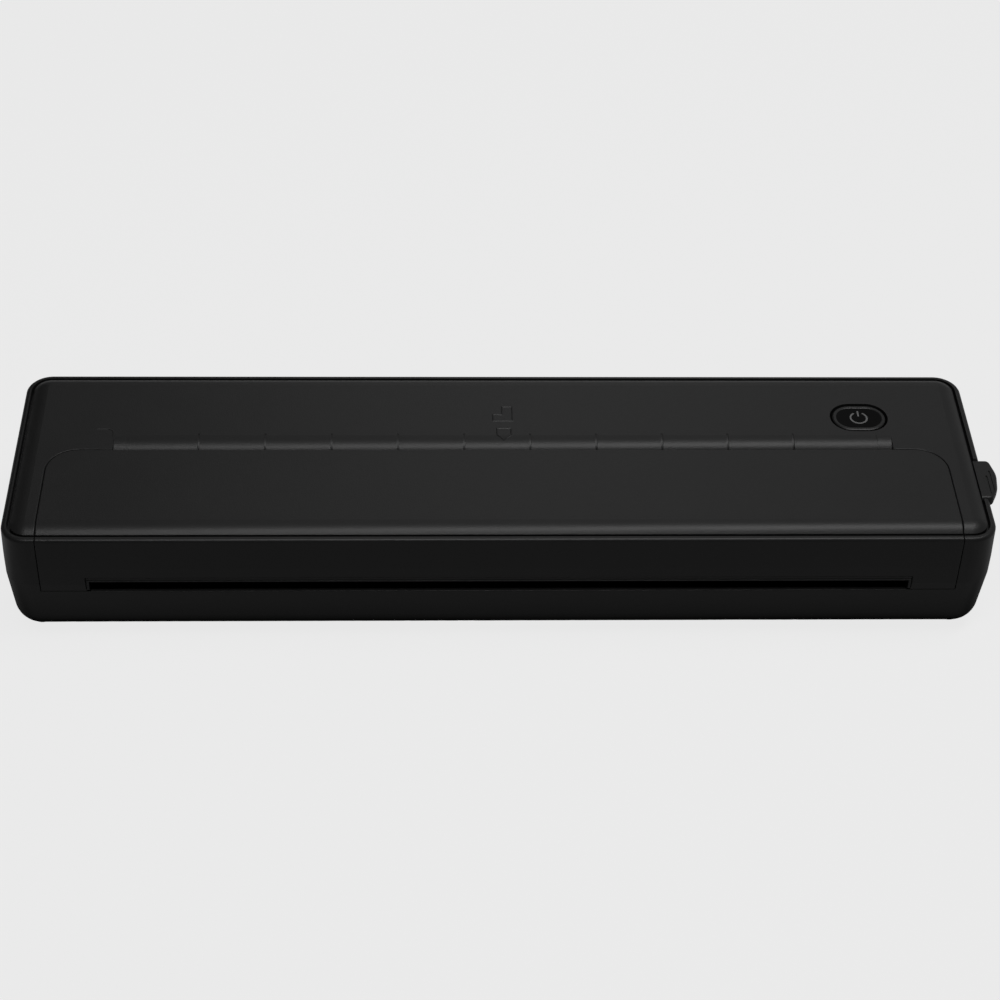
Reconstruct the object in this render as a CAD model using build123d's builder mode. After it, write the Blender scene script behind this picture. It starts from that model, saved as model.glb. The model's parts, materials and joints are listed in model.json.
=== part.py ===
"""A4 portable thermal printer: a flat black case with a front lid that carries the platen roller.

Frame: X to the right, Y to the rear, Z up. The parts are drawn about the middle plane of the case, and
saved with the origin under the middle of case and release tab together, on the surface that the printer
stands on. All lengths are in millimetres, all angles in degrees.
"""
import os
from math import acos, atan2, cos, degrees, hypot, pi, radians, sin, sqrt, tan

from build123d import *

os.makedirs("parts", exist_ok=True)

# ---------------------------------------------------------------- case
BODY_W = 267.0            # case width at the rim
BODY_D = 70.0             # case depth at the rim
CORNER_R = 7.0            # plan radius of the case corners at the rim
FOOT_H = 1.8              # feet below the case floor
CASE_H = 34.8             # case floor to rim top
BULGE = 0.3               # how far the walls swell out below the rim
BULGE_DROP = 10.0         # the walls are widest from here, below the rim,
KNEE_DROP = 15.8          # down to here, where they start to lean in
FLOOR_INSET = 1.14        # the walls lean in by this much at the floor
FLOOR_CORNER_R = 7.5      # plan radius of the corners at the floor
FLOOR_ROUND = 7.3         # rounding between walls and floor
RIM_ROUND = 1.1           # outer rounding of the rim
WALL = 2.0                # case wall
PARTING_DROP = 18.2       # parting line below the rim top
MIDDLE_SHIFT = -1.75      # X of the case's middle plane in the saved parts
SEAM = 0.12               # hairline gap between visible case parts
EDGE_SOFT = 0.3           # rounding of the edges beside the lid's seam

FLOOR_Z = FOOT_H
RIM_Z = FLOOR_Z + CASE_H
BULGE_Z = RIM_Z - BULGE_DROP
KNEE_Z = RIM_Z - KNEE_DROP
PARTING_Z = RIM_Z - PARTING_DROP
FRONT_Y = -BODY_D / 2
REAR_Y = BODY_D / 2
LOWER_LEAN = (BULGE + FLOOR_INSET) / (KNEE_Z - FLOOR_Z)

# ---------------------------------------------------------------- crowned top
RIM_W = 1.5               # width of the rim
GROOVE_W = 0.8            # groove between the rim and the crowned top
GROOVE_DEPTH = 2.1        # groove below the rim top
CROWN_H = 1.6             # crowned top above the rim
CROWN_ROUND = 6.5         # radius of the roll-off at the edge of the top
CROWN_ROLL_W = 4.3        # width of that roll-off in plan
LEDGE_W = 6.0             # ledge under the edge of the deck, measured from the outside
LEDGE_T = 1.8
SKIN = 2.2                # thickness of the lid and deck skins
DECK_LIP = 0.8            # deck's wall along the inlet
DECK_EDGE = 5.0           # solid edge of the deck on its seat

TOP_Z = RIM_Z + CROWN_H
SEAT_Z = RIM_Z - GROOVE_DEPTH
SKIN_Z = TOP_Z - SKIN
CROWN_INSET = RIM_W + GROOVE_W
CROWN_W = BODY_W - 2 * CROWN_INSET
CROWN_D = BODY_D - 2 * CROWN_INSET
CROWN_CORNER_R = CORNER_R - CROWN_INSET

# ---------------------------------------------------------------- lid
LID_SIDE = 9.6            # case on each side of the lid
LID_DEPTH = 35.3          # front of the case to the lid's rear edge
LID_CORNER_R = 8.5        # plan radius of the lid's rear corners
LID_CHEEK_T = 2.2         # end plates of the lid
LID_FRONT_T = 2.0         # front wall of the lid
CHEEK_T = 2.0             # case walls beside the lid
CHEEK_DEPTH = 30.0
PIN_BLOCK = 4.2           # thickness of those walls around the hinge pins
LID_HALF_W = BODY_W / 2 - LID_SIDE
LID_REAR_Y = FRONT_Y + LID_DEPTH

SLOT_SIDE = 13.15         # lid on each side of the paper exit slot
SLOT_H = 3.8
SLOT_BEVEL = 0.8
SLOT_W = 2 * (LID_HALF_W - SLOT_SIDE)
SLOT_TOP_Z = PARTING_Z + SLOT_H

HINGE_A = 2.4             # hinge axis behind and above the parting edge
HINGE_PIN_R = 1.0
HINGE_PIN_L = 6.2
HINGE_CLEAR = 0.05        # running clearance of the hinge pins
BARREL_GAP = 0.12         # between the hinge barrel and its cradle
PARTING_Y = FRONT_Y - BULGE + LOWER_LEAN * (KNEE_Z - PARTING_Z)
HINGE_Y = PARTING_Y + HINGE_A
HINGE_Z = PARTING_Z + HINGE_A
BARREL_R = HINGE_A * sqrt(2)

# ---------------------------------------------------------------- paper inlet
CHUTE_NARROWER = 5.1      # the inlet is narrower than the exit slot
CHUTE_MIDDLE = 1.7        # the inlet's middle, to the right of the case's
CHUTE_FOOT = LID_DEPTH + 1.1   # chute's lower edge, from the case front
CHUTE_TOP = CHUTE_FOOT + 5.1   # the deck starts to roll off here
CHUTE_DROP = 2.4          # fall of the chute
CHUTE_ROLL_R = ((CHUTE_TOP - CHUTE_FOOT) ** 2 + CHUTE_DROP**2) / (2 * CHUTE_DROP)
GUIDE_T = 1.2             # paper guide below the chute
GUIDE_LIP = 2.0
GUIDE_FOOT = LID_DEPTH - 2.5   # guide's lower edge, from the case front
GUIDE_FOOT_RISE = 1.6     # and above the print head
SCALE_MARKS = 10          # paper size marks cut in the chute
MARK_PITCH = 18.38
MARK_W = 0.6
MARK_DEPTH = 0.5
MARK_REAR = CHUTE_TOP + 0.5    # rear end of the marks, from the case front
MARK_FADE = (1.0, 0.12)   # the marks' floor is the chute's own arc, moved back and down by this
MARK_MIDDLE = -0.4        # the middle of the row of marks
CHUTE_W = SLOT_W - CHUTE_NARROWER

# ---------------------------------------------------------------- power button
BUTTON_X = BODY_W / 2 - 31.5
BUTTON_Y = FRONT_Y + CHUTE_TOP + 7.7
BUTTON_HOLE = (16.4, 12.0)
BUTTON_GAP = 0.7          # seen around the cap
BUTTON_SINK = 0.2         # cap below the deck
BUTTON_BEVEL = (0.7, 1.0) # height and width of the cap's bevel
BUTTON_TRAVEL = 0.6
BUTTON_FLANGE_W = 1.2
BUTTON_FLANGE_T = 0.9
ICON_R = 2.3              # power symbol
ICON_LINE = 0.5
ICON_BAR = 2.4
ICON_GAP_DEG = 60.0
ICON_DEPTH = 0.4

# ---------------------------------------------------------------- platen and gears
PLATEN_Y = FRONT_Y + 21.0
PLATEN_Z = RIM_Z - 8.9
PLATEN_R = 5.0
PLATEN_L = 217.0
SHAFT_R = 2.5
SHAFT_END = 1.2           # shaft past the right bush
BUSH_R = 4.0
BUSH_FLANGE_R = 5.0
BUSH_FLANGE_T = 0.8
BRACKET_T = 1.0           # sheet of the lid's roller bracket
BRACKET_HALF = 112.0      # outer face of the bracket's ears
BRACKET_FRONT = 13.5      # bracket, from the case front
BRACKET_REAR = 28.0
BRACKET_TOP_Z = SKIN_Z - 1.0
EAR_LOW = 5.0             # ears reach this far below the roller's axis
RUN_CLEAR = 0.05          # radial running clearance of shafts
FIT = 0.02                # seated pins and screws

MODULE = 0.5
PRESSURE_DEG = 20.0
BACKLASH = 0.08
GEAR_T = 3.0
TEETH_PLATEN = 24
TEETH_IDLER = 28
TEETH_SMALL = 14
TEETH_LARGE = 32
TEETH_PINION = 12
GEAR_OUT_X = 4.9 - LID_HALF_W   # outer face of the outboard gear layer
GEAR_LAYER_GAP = 0.3
LARGE_T = 1.8
STUD_R = 1.5
CLIP_R = 2.6
CLIP_T = 0.4
TRAIN_LEAN_DEG = 11.0     # the train's last two centre lines rise at this angle

# ---------------------------------------------------------------- print head
NIP_GAP = 0.05
HEAD_L = 216.0
HEAD_FRONT = 17.5         # from the case front
HEAD_T = 0.8
HEAD_DEPTH = 8.5
SINK_T = 2.2
HEAD_PIVOT = 31.5         # from the case front
HEAD_FRAME_T = 1.0
HEAD_FRAME_Z = PLATEN_Z - 15.7
HEAD_FRAME_GAP = 1.6      # between the heat sink's ends and the frame's ears
HEAD_FRAME_DEPTHS = (15.5, 34.0)   # from the case front
HEAD_EAR_FRONT = 3.0      # ear ahead of the pivot
HEAD_EAR_TOP = 2.0        # ear above the pivot
HEAD_POST_XS = (-100.0, -40.0, 40.0, 100.0)
HEAD_POST_DEPTH = 25.5    # from the case front
HEAD_POST_R = 3.0
HEAD_POST_HOLE = 5.0
COVER_REAR = 1.0          # driver cover ends ahead of the pivot
SPRING_R = 2.4
SPRING_WIRE = 0.5
SPRING_TURNS = 5
SPRING_XS = (-80.0, 0.0, 80.0)
SPRING_Y = FRONT_Y + 21.0

# ---------------------------------------------------------------- latch
LATCH_Y = LID_REAR_Y + 6.2
LATCH_Z = RIM_Z - 5.6
LATCH_R = 1.5
RIB_XS = (40.3 - BODY_W / 2, BODY_W / 2 - 19.7)   # deck ribs that carry the latch shaft
RIB_T = 2.5
RIB_R = 2.4               # rib around the shaft's axis
HOOK_IN_X = LID_HALF_W - 4.0
HOOK_T = 1.2
HOOK_RING_R = 3.0
HOOK_BAR = 2.0            # width of the hook's bars
NOSE_T = 0.9
NOSE_LAP = 1.1            # nose over the striker
STRIKER_Y = FRONT_Y + 27.0
STRIKER_Z = LATCH_Z - 10.5
STRIKER_R = 1.2
STRIKER_X = (HOOK_IN_X - 0.15, LID_HALF_W - 0.7)
STRIKER_LEG = (24.4, 29.6)   # leg of the lid's end plate, from the case front
STRIKER_LEG_DROP = 2.0    # leg below the striker's axis
CHEEK_LOW_Z = RIM_Z - 9.6 # lower edge of the lid's end plates
HOOK_GAP = 0.15
HOOK_ROOM = 2.8           # behind and below the striker
TAB_FRONT = 16.7          # release tab, from the case front
TAB_REAR_R = 10.35        # rear end of the tab, measured from the latch shaft
TAB_T = 3.3
TAB_REAR = 32.8           # rear side of the tab's outline, from the case front
TAB_CORNERS = (           # outline past the case wall, from the case front, corner radius
    (2.7, TAB_REAR, 1.5),
    (4.0, 27.0, 9.0),
    (3.2, 20.9, 9.0),
    (1.2, TAB_FRONT, 1.3),
)
TAB_GROOVES = (           # finger grooves past the case wall, front and rear end
    (0.8, 18.5, 26.0),
    (1.9, 19.5, 28.0),
)
TAB_GROOVE_W = 0.5
TAB_GROOVE_DEPTH = 0.3
TAB_GAP = 0.3
TAB_ARM_X = (BODY_W / 2 - 5.3, BODY_W / 2 - 2.6)
TAB_ARM_T = 3.2           # room for the arm
TAB_ARM_LOW = 1.0         # the arm stays this far below the top of its room
TAB_ROUND = 1.1
TAB_WEB = (26.0, 30.2)    # web between arm and tab, from the case front
LATCH_SPRING_X = (RIB_XS[1] - 8.0, RIB_XS[1] - 2.0)
LATCH_SPRING_R = 2.3

# ---------------------------------------------------------------- electronics
MOTOR_R = 10.0
MOTOR_L = 17.0
MOTOR_SHAFT_R = 0.75
MOTOR_PLATE_T = 0.9
ROTOR_SHORT = 4.0         # rotor shaft ends inside the motor
TERMINAL_ENDS = (4.0, 3.0)   # terminal block, from the motor's two ends
TERMINAL_HALF = 4.0
TERMINAL_OUT = 1.5
PLATE_DEPTHS = (19.5, BODY_D - 9.0)  # motor plate, from the case front
PLATE_STEP = (30.0, 34.0)    # the plate steps up between these depths
PLATE_STEP_Z = RIM_Z - 15.1
PLATE_TOP_Z = RIM_Z - 8.0
PLATE_BORE_R = 2.4
FLANGE_RISE = 1.3         # plate's flange above the case floor
FLANGE_DEPTHS = (37.5, BODY_D - 10.5)
FLANGE_IN_X = GEAR_OUT_X + 15.5
FLANGE_SCREW_X = GEAR_OUT_X + 11.0
FLANGE_SCREW_DEPTHS = (41.0, BODY_D - 14.0)
FLANGE_HOLE = 2.5
BOARD_T = 1.6
BOARD_Z = RIM_Z - 8.6
BOARD_X = (-86.0, BODY_W / 2 - 16.5)
BOARD_FRONT = BODY_D - 24.0
BOARD_REAR = BODY_D - 9.0
USB_X = 60.0
USB_W = 8.9
USB_H = 3.2
USB_L = 7.3
USB_GAP = 0.35            # between the socket and the case opening
USB_SINK = 1.0            # socket's mouth inside the case wall
USB_SHELL = 0.3
USB_ROUND = 1.4
USB_MOUTH_ROUND = 1.1
USB_BLADE = (6.5, 0.7)    # contact blade inside the socket
USB_BACK = 1.0
USB_TONGUE = 16.0         # board's tongue that carries the socket
BOARD_WALL_GAP = 3.0      # tongue, from the outside of the rear wall
SWITCH_SIZE = (6.0, 6.0, 3.4)
SWITCH_PLUNGER = (1.6, 0.75)   # radius and height
STEM_R = 2.0
STEM_GAP = 0.1            # left between stem and plunger at full travel
CELL_R = 9.15
CELL_L = 65.0
CELL_X = -44.0            # left end of the first cell
CELL_GAP = 2.0
CELL_Y = REAR_Y - 16.0
HOLDER_T = 1.6
HOLDER_RISE = 1.0         # holder above the cells' axis
RIBBON_T = 0.3
RIBBON_W = 30.0
RIBBON_X = 35.0
RIBBON_GAP = 0.6          # between the ribbon and the heat sink
RIBBON_SAG = (36.0, HEAD_FRAME_Z + 1.8)   # depth and height of the ribbon's bends
RIBBON_RISE = (BOARD_FRONT - 3.5, BOARD_Z - 4.5)
RIBBON_BEND_R = 2.0
CONNECTOR_DEPTHS = (BOARD_FRONT + 1.0, BOARD_FRONT + 5.5)   # ribbon connector under the board
CONNECTOR_SIDE = 1.5
CONNECTOR_H = 2.4
SENSOR_X = (-6.0, 6.0)
SENSOR_DEPTHS = (CHUTE_FOOT, CHUTE_FOOT + 3.0)
SENSOR_Z = (PLATEN_Z - 1.2, PLATEN_Z + 1.8)

# ---------------------------------------------------------------- screws and feet
SCREW_R = 1.25
SCREW_HEAD_R = 2.3
SCREW_HEAD_T = 1.5
SCREW_HEAD_RISE = 5.0     # screw heads sink this far into the floor
BOSS_R = 3.2
BOSS_SPLIT_Z = FLOOR_Z + 8.2
SCREW_TIP_Z = FLOOR_Z + 20.2
HOLE_SPARE = 0.1          # screw holes are this much deeper than their screws
DECK_SCREW_XS = (23.5 - BODY_W / 2, 0.0, BODY_W / 2 - 21.5)
DECK_SCREW_INSET = 4.3    # deck screws, from the rear of the case
LID_SCREW_XS = (90.0, 30.0)
LID_SCREW_DEPTH = 17.0    # from the case front
LID_SCREW_BITE = 1.2      # into the lid's skin
LID_BOSS_R = 2.6
SMALL_SCREW_R = 1.0
SMALL_HEAD_R = 1.9
SMALL_HEAD_T = 0.8
FOOT_X = BODY_W / 2 - 7.3 # the feet hide the case screws
FOOT_Y = BODY_D / 2 - 10.0
FOOT_R = 3.4
FOOT_STUB_R = 1.7
FOOT_STUB_H = 1.0


def from_front(depth):
    """Y of a point that lies so far behind the case front."""
    return FRONT_Y + depth


def both(x, y):
    """The point and its mirror image across the middle plane."""
    return [(x, y), (-x, y)]


def save(part, name):
    """Write a part, moved so that the origin is under the middle of the whole printer."""
    moved = Pos(MIDDLE_SHIFT, 0, 0) * part
    moved.label = name
    export_step(moved, f"parts/{name}.step")


def case_block(inset, floor_z, top_z):
    """The case's outer form, made smaller all round by inset."""
    with BuildPart(mode=Mode.PRIVATE) as block:
        with BuildSketch(Plane.XY.offset(top_z)):
            swell = BULGE * (RIM_Z - top_z) / BULGE_DROP - inset
            RectangleRounded(BODY_W + 2 * swell, BODY_D + 2 * swell, CORNER_R + swell)
        for level in (BULGE_Z, KNEE_Z):
            with BuildSketch(Plane.XY.offset(level)):
                swell = BULGE - inset
                RectangleRounded(BODY_W + 2 * swell, BODY_D + 2 * swell, CORNER_R + swell)
        with BuildSketch(Plane.XY.offset(floor_z)):
            swell = BULGE - LOWER_LEAN * (KNEE_Z - floor_z) - inset
            RectangleRounded(BODY_W + 2 * swell, BODY_D + 2 * swell, FLOOR_CORNER_R - inset)
        loft(ruled=True)
        fillet(block.faces().sort_by(Axis.Z)[0].edges(), FLOOR_ROUND - inset)
    return block.part


def crown_block():
    """The crowned top as one solid, from its seat to its highest level."""
    grow = CROWN_ROUND - CROWN_ROLL_W
    with BuildPart(mode=Mode.PRIVATE) as block:
        with BuildSketch(Plane.XY.offset(TOP_Z)):
            RectangleRounded(CROWN_W + 2 * grow, CROWN_D + 2 * grow, CROWN_CORNER_R + grow)
        extrude(amount=-2 * CROWN_ROUND)
        fillet(block.faces().sort_by(Axis.Z)[-1].edges(), CROWN_ROUND)
        with BuildSketch(Plane.XY.offset(SEAT_Z)):
            RectangleRounded(CROWN_W, CROWN_D, CROWN_CORNER_R)
        extrude(amount=TOP_Z - SEAT_Z + GROOVE_W, mode=Mode.INTERSECT)
    return block.part


with BuildPart() as outer_block:
    add(case_block(0, FLOOR_Z, RIM_Z))
    fillet(outer_block.faces().sort_by(Axis.Z)[-1].edges(), RIM_ROUND)
outer = outer_block.part
inner = case_block(WALL, FLOOR_Z + WALL, RIM_Z)
boss_space = case_block(WALL + SEAM, FLOOR_Z + WALL + SEAM, RIM_Z)
crown = crown_block()


def lid_outline(grow, z_low, z_high):
    """The lid's plan outline as a tall block, made larger by grow."""
    front = FRONT_Y - BODY_D / 2
    rear = LID_REAR_Y + grow
    with BuildPart(mode=Mode.PRIVATE) as block:
        with BuildSketch(Plane.XY.offset(z_low)) as outline:
            with Locations((0, (front + rear) / 2)):
                Rectangle(2 * (LID_HALF_W + grow), rear - front)
            fillet(outline.vertices().group_by(Axis.Y)[-1], LID_CORNER_R + grow)
        extrude(amount=z_high - z_low)
    return block.part


def x_box(x_range, y_range, z_range):
    """A block between two values on each axis."""
    size = [high - low for low, high in (x_range, y_range, z_range)]
    middle = [(high + low) / 2 for low, high in (x_range, y_range, z_range)]
    return Pos(*middle) * Box(*size, mode=Mode.PRIVATE)


def x_rod(radius, x_range, y, z):
    """A round rod along X."""
    length = x_range[1] - x_range[0]
    place = Pos((x_range[0] + x_range[1]) / 2, y, z) * Rot(0, 90, 0)
    return place * Cylinder(radius, length, mode=Mode.PRIVATE)


def z_rod(radius, z_range, x, y):
    """A round rod along Z."""
    length = z_range[1] - z_range[0]
    return Pos(x, y, (z_range[0] + z_range[1]) / 2) * Cylinder(radius, length, mode=Mode.PRIVATE)


def x_plate(points, x_range):
    """A plate across X, its outline given as points behind the case front and above the ground."""
    with BuildPart(mode=Mode.PRIVATE) as plate:
        with BuildSketch(Plane.YZ.offset(x_range[0])):
            with BuildLine():
                Polyline([(from_front(depth), z) for depth, z in points], close=True)
            make_face()
        extrude(amount=x_range[1] - x_range[0])
    return plate.part


def mirrored(solid):
    """The solid and its mirror image across the middle plane."""
    return [solid, mirror(solid, about=Plane.YZ, mode=Mode.PRIVATE)]


def seam_edges(shape, grow, low_z):
    """Edges of the shape above low_z that follow the lid's outline, made larger by grow."""
    side = LID_HALF_W + grow
    rear = LID_REAR_Y + grow
    corner_r = LID_CORNER_R + grow

    def off_outline(point):
        past_x = abs(point.X) - side + corner_r
        past_y = point.Y - rear + corner_r
        if min(past_x, past_y) > 0:
            return abs(hypot(past_x, past_y) - corner_r)
        return min(abs(past_x - corner_r), abs(past_y - corner_r))

    def follows(edge):
        ends = [edge @ 0, edge @ 0.5, edge @ 1]
        on_outline = max(off_outline(point) for point in ends) < FIT
        return on_outline and min(point.Z for point in ends) > low_z and abs((edge % 0.5).Z) < cos(pi / 4)

    return shape.edges().filter_by(follows)


# ---------------------------------------------------------------- shared tools for cutting
FAR = BODY_W              # longer than anything it has to cut
lid_space = lid_outline(SEAM, PARTING_Z - BARREL_R, TOP_Z + CASE_H)
lid_form = lid_outline(0, PARTING_Z - BARREL_R, TOP_Z + CASE_H)
above_parting = x_box((-FAR, FAR), (-FAR, FAR), (PARTING_Z, FAR))
below_parting = x_box((-FAR, FAR), (-FAR, FAR), (-FAR, PARTING_Z))
cradle = x_rod(BARREL_R + BARREL_GAP, (-LID_HALF_W - SEAM, LID_HALF_W + SEAM), HINGE_Y, HINGE_Z)

with BuildPart() as rim_pocket:
    with BuildSketch(Plane.XY.offset(SEAT_Z)):
        RectangleRounded(BODY_W - 2 * RIM_W, BODY_D - 2 * RIM_W, CORNER_R - RIM_W)
    extrude(amount=CASE_H)

with BuildPart() as ledge_opening:
    with BuildSketch(Plane.XY.offset(SEAT_Z - LEDGE_T)):
        RectangleRounded(BODY_W - 2 * LEDGE_W, BODY_D - 2 * LEDGE_W, CORNER_R / 2)
    extrude(amount=CASE_H)

foot_places = both(FOOT_X, FOOT_Y) + both(FOOT_X, -FOOT_Y)
screw_head_z = FLOOR_Z + SCREW_HEAD_RISE
boss_top_z = SEAT_Z - LEDGE_T / 2

# ---------------------------------------------------------------- release tab's notch
TAB_LOW_Z = RIM_Z - TAB_T
TAB_IN_X = BODY_W / 2 - RIM_W - GROOVE_W / 2
tab_sweep = x_rod(TAB_REAR_R - TAB_GAP, (TAB_IN_X - WALL, FAR), LATCH_Y, LATCH_Z)
tab_notch = x_box(
    (TAB_IN_X - GROOVE_W, FAR),
    (from_front(TAB_FRONT) - TAB_GAP, LATCH_Y),
    (TAB_LOW_Z - TAB_GAP, FAR),
) - tab_sweep
web_notch = x_box(
    (TAB_ARM_X[0] - TAB_GAP, FAR),
    (from_front(TAB_WEB[0]) - 2 * TAB_GAP, from_front(TAB_WEB[1]) + 3 * TAB_GAP),
    (LATCH_Z - TAB_ARM_T / 2 - TAB_GAP, TAB_LOW_Z),
)
arm_room = x_box(
    (TAB_ARM_X[0] - 2 * TAB_GAP, TAB_ARM_X[1] + TAB_GAP),
    (from_front(TAB_WEB[0]) - 2 * TAB_GAP, LATCH_Y + TAB_ARM_T),
    (LATCH_Z - TAB_ARM_T, SEAT_Z),
)

# ---------------------------------------------------------------- lower case
FLOOR_IN_Z = FLOOR_Z + WALL
FLANGE_Z = FLOOR_IN_Z + FLANGE_RISE
HEAD_POST_Y = from_front(HEAD_POST_DEPTH)
FLANGE_SCREWS = [(FLANGE_SCREW_X, from_front(depth)) for depth in FLANGE_SCREW_DEPTHS]

with BuildPart() as lower_case:
    add(outer)
    add(inner, mode=Mode.SUBTRACT)
    add(above_parting, mode=Mode.SUBTRACT)
    add(cradle, mode=Mode.SUBTRACT)
    for x, y in foot_places:
        add(z_rod(BOSS_R, (FLOOR_Z, BOSS_SPLIT_Z), x, y) & outer)
    for x in HEAD_POST_XS:
        add(z_rod(HEAD_POST_R, (FLOOR_IN_Z, HEAD_FRAME_Z), x, HEAD_POST_Y))
    for x, y in FLANGE_SCREWS:
        add(z_rod(HEAD_POST_R, (FLOOR_IN_Z, FLANGE_Z), x, y))
    for x, y in foot_places:
        add(z_rod(SCREW_HEAD_R + SEAM, (0, screw_head_z + SCREW_HEAD_T), x, y), mode=Mode.SUBTRACT)
        add(z_rod(SCREW_R + SEAM, (0, BOSS_SPLIT_Z), x, y), mode=Mode.SUBTRACT)
    for x in HEAD_POST_XS:
        hole = z_rod(SMALL_SCREW_R + FIT, (HEAD_FRAME_Z - HEAD_POST_HOLE, HEAD_FRAME_Z), x, HEAD_POST_Y)
        add(hole, mode=Mode.SUBTRACT)
    for x, y in FLANGE_SCREWS:
        add(z_rod(SMALL_SCREW_R + FIT, (FLANGE_Z - FLANGE_HOLE, FLANGE_Z), x, y), mode=Mode.SUBTRACT)
save(lower_case.part, "lower_case")

# ---------------------------------------------------------------- upper case
CHEEK_IN_X = LID_HALF_W + SEAM
cheek_y = (FRONT_Y - BULGE, from_front(CHEEK_DEPTH))
cheek = x_box((CHEEK_IN_X, CHEEK_IN_X + CHEEK_T), cheek_y, (PARTING_Z, SEAT_Z))
pin_block = x_box(
    (CHEEK_IN_X, CHEEK_IN_X + PIN_BLOCK),
    (FRONT_Y - BULGE, HINGE_Y + BARREL_R),
    (PARTING_Z, HINGE_Z + BARREL_R),
)
usb_z = (BOARD_Z - USB_H - FIT, BOARD_Z - FIT)
usb_opening = x_box(
    (USB_X - USB_W / 2 - USB_GAP, USB_X + USB_W / 2 + USB_GAP),
    (REAR_Y - 3 * WALL, REAR_Y + WALL),
    (usb_z[0] - USB_GAP, usb_z[1] + USB_GAP),
)
DECK_SCREW_Y = REAR_Y - DECK_SCREW_INSET

with BuildPart() as upper_case:
    add(outer)
    add(inner, mode=Mode.SUBTRACT)
    add(x_box((-FAR, FAR), (-FAR, FAR), (SEAT_Z - LEDGE_T, FAR)) & outer)
    add(ledge_opening.part, mode=Mode.SUBTRACT)
    add(rim_pocket.part, mode=Mode.SUBTRACT)
    add(below_parting, mode=Mode.SUBTRACT)
    add(lid_space, mode=Mode.SUBTRACT)
    for solid in mirrored(cheek) + mirrored(pin_block):
        add(solid & outer)
    for x, y in foot_places:
        add(z_rod(BOSS_R, (BOSS_SPLIT_Z, PARTING_Z), x, y) & boss_space)
        add(z_rod(BOSS_R, (PARTING_Z, boss_top_z), x, y) & outer)
    add(lid_space, mode=Mode.SUBTRACT)
    for x, y in foot_places:
        hole = z_rod(SCREW_R + FIT, (BOSS_SPLIT_Z, SCREW_TIP_Z + FIT), x, y)
        add(hole, mode=Mode.SUBTRACT)
    for solid in mirrored(x_rod(HINGE_PIN_R + FIT, (LID_HALF_W, CHEEK_IN_X + PIN_BLOCK), HINGE_Y, HINGE_Z)):
        add(solid, mode=Mode.SUBTRACT)
    for x in DECK_SCREW_XS:
        hole = z_rod(SMALL_SCREW_R + FIT, (SEAT_Z - LEDGE_T, SEAT_Z), x, DECK_SCREW_Y)
        add(hole, mode=Mode.SUBTRACT)
    add(usb_opening, mode=Mode.SUBTRACT)
    add(tab_notch, mode=Mode.SUBTRACT)
    add(web_notch, mode=Mode.SUBTRACT)
    add(arm_room, mode=Mode.SUBTRACT)
save(upper_case.part, "upper_case")

# ---------------------------------------------------------------- deck behind the lid
def pill(width, height, z_low, z_high):
    """A block with round ends, where the power button is."""
    with BuildPart(mode=Mode.PRIVATE) as block:
        with BuildSketch(Plane.XY.offset(z_low)):
            with Locations((BUTTON_X, BUTTON_Y)):
                SlotOverall(width, height)
        extrude(amount=z_high - z_low)
    return block.part


chute_x = (CHUTE_MIDDLE - CHUTE_W / 2, CHUTE_MIDDLE + CHUTE_W / 2)
chute_foot_z = TOP_Z - CHUTE_DROP
chute_roll = (from_front(CHUTE_TOP), TOP_Z - CHUTE_ROLL_R)
chute_front_y = from_front(LID_DEPTH - LID_CORNER_R)
above_slope = x_box(chute_x, (chute_front_y, chute_roll[0]), (chute_foot_z, TOP_Z + CROWN_H))
ahead_of_foot = x_box(chute_x, (chute_front_y, from_front(CHUTE_FOOT)), (SEAT_Z - CROWN_H, TOP_Z))
chute_cut = above_slope - x_rod(CHUTE_ROLL_R, chute_x, *chute_roll) + ahead_of_foot
mark_roll = (chute_roll[0] + MARK_FADE[0], chute_roll[1] - MARK_FADE[1])
mark_xs = [MARK_MIDDLE + MARK_PITCH * (i - (SCALE_MARKS - 1) / 2) for i in range(SCALE_MARKS)]

with BuildPart() as rear_deck:
    add(crown)
    add(lid_space, mode=Mode.SUBTRACT)
    with BuildSketch(Plane.XY.offset(SEAT_Z)):
        pocket_front = from_front(CHUTE_TOP + DECK_LIP)
        pocket_rear = REAR_Y - CROWN_INSET - DECK_EDGE
        with Locations((0, (pocket_front + pocket_rear) / 2)):
            Rectangle(CROWN_W - 2 * DECK_EDGE, pocket_rear - pocket_front)
    extrude(amount=SKIN_Z - SEAT_Z, mode=Mode.SUBTRACT)
    add(chute_cut, mode=Mode.SUBTRACT)
    for x in mark_xs:
        mark_x = (x - MARK_W / 2, x + MARK_W / 2)
        mark_y = (chute_front_y, from_front(MARK_REAR))
        add(
            x_box(mark_x, mark_y, (chute_foot_z - MARK_DEPTH, TOP_Z + MARK_DEPTH))
            - x_rod(CHUTE_ROLL_R, mark_x, *mark_roll),
            mode=Mode.SUBTRACT,
        )
    rib_y = (LATCH_Y - RIB_R, LATCH_Y + RIB_R)
    for x in RIB_XS:
        add(x_box((x - RIB_T / 2, x + RIB_T / 2), rib_y, (LATCH_Z - RIB_R, SKIN_Z)))
    add(x_rod(LATCH_R + RUN_CLEAR, (-FAR, FAR), LATCH_Y, LATCH_Z), mode=Mode.SUBTRACT)
    for x in DECK_SCREW_XS:
        hole = z_rod(SMALL_SCREW_R + FIT, (SEAT_Z, SKIN_Z), x, DECK_SCREW_Y)
        add(hole, mode=Mode.SUBTRACT)
    add(pill(*BUTTON_HOLE, SEAT_Z, TOP_Z + CROWN_H), mode=Mode.SUBTRACT)
    fillet(seam_edges(rear_deck, SEAM, SEAT_Z + FIT), EDGE_SOFT)
save(rear_deck.part, "rear_deck")

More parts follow.
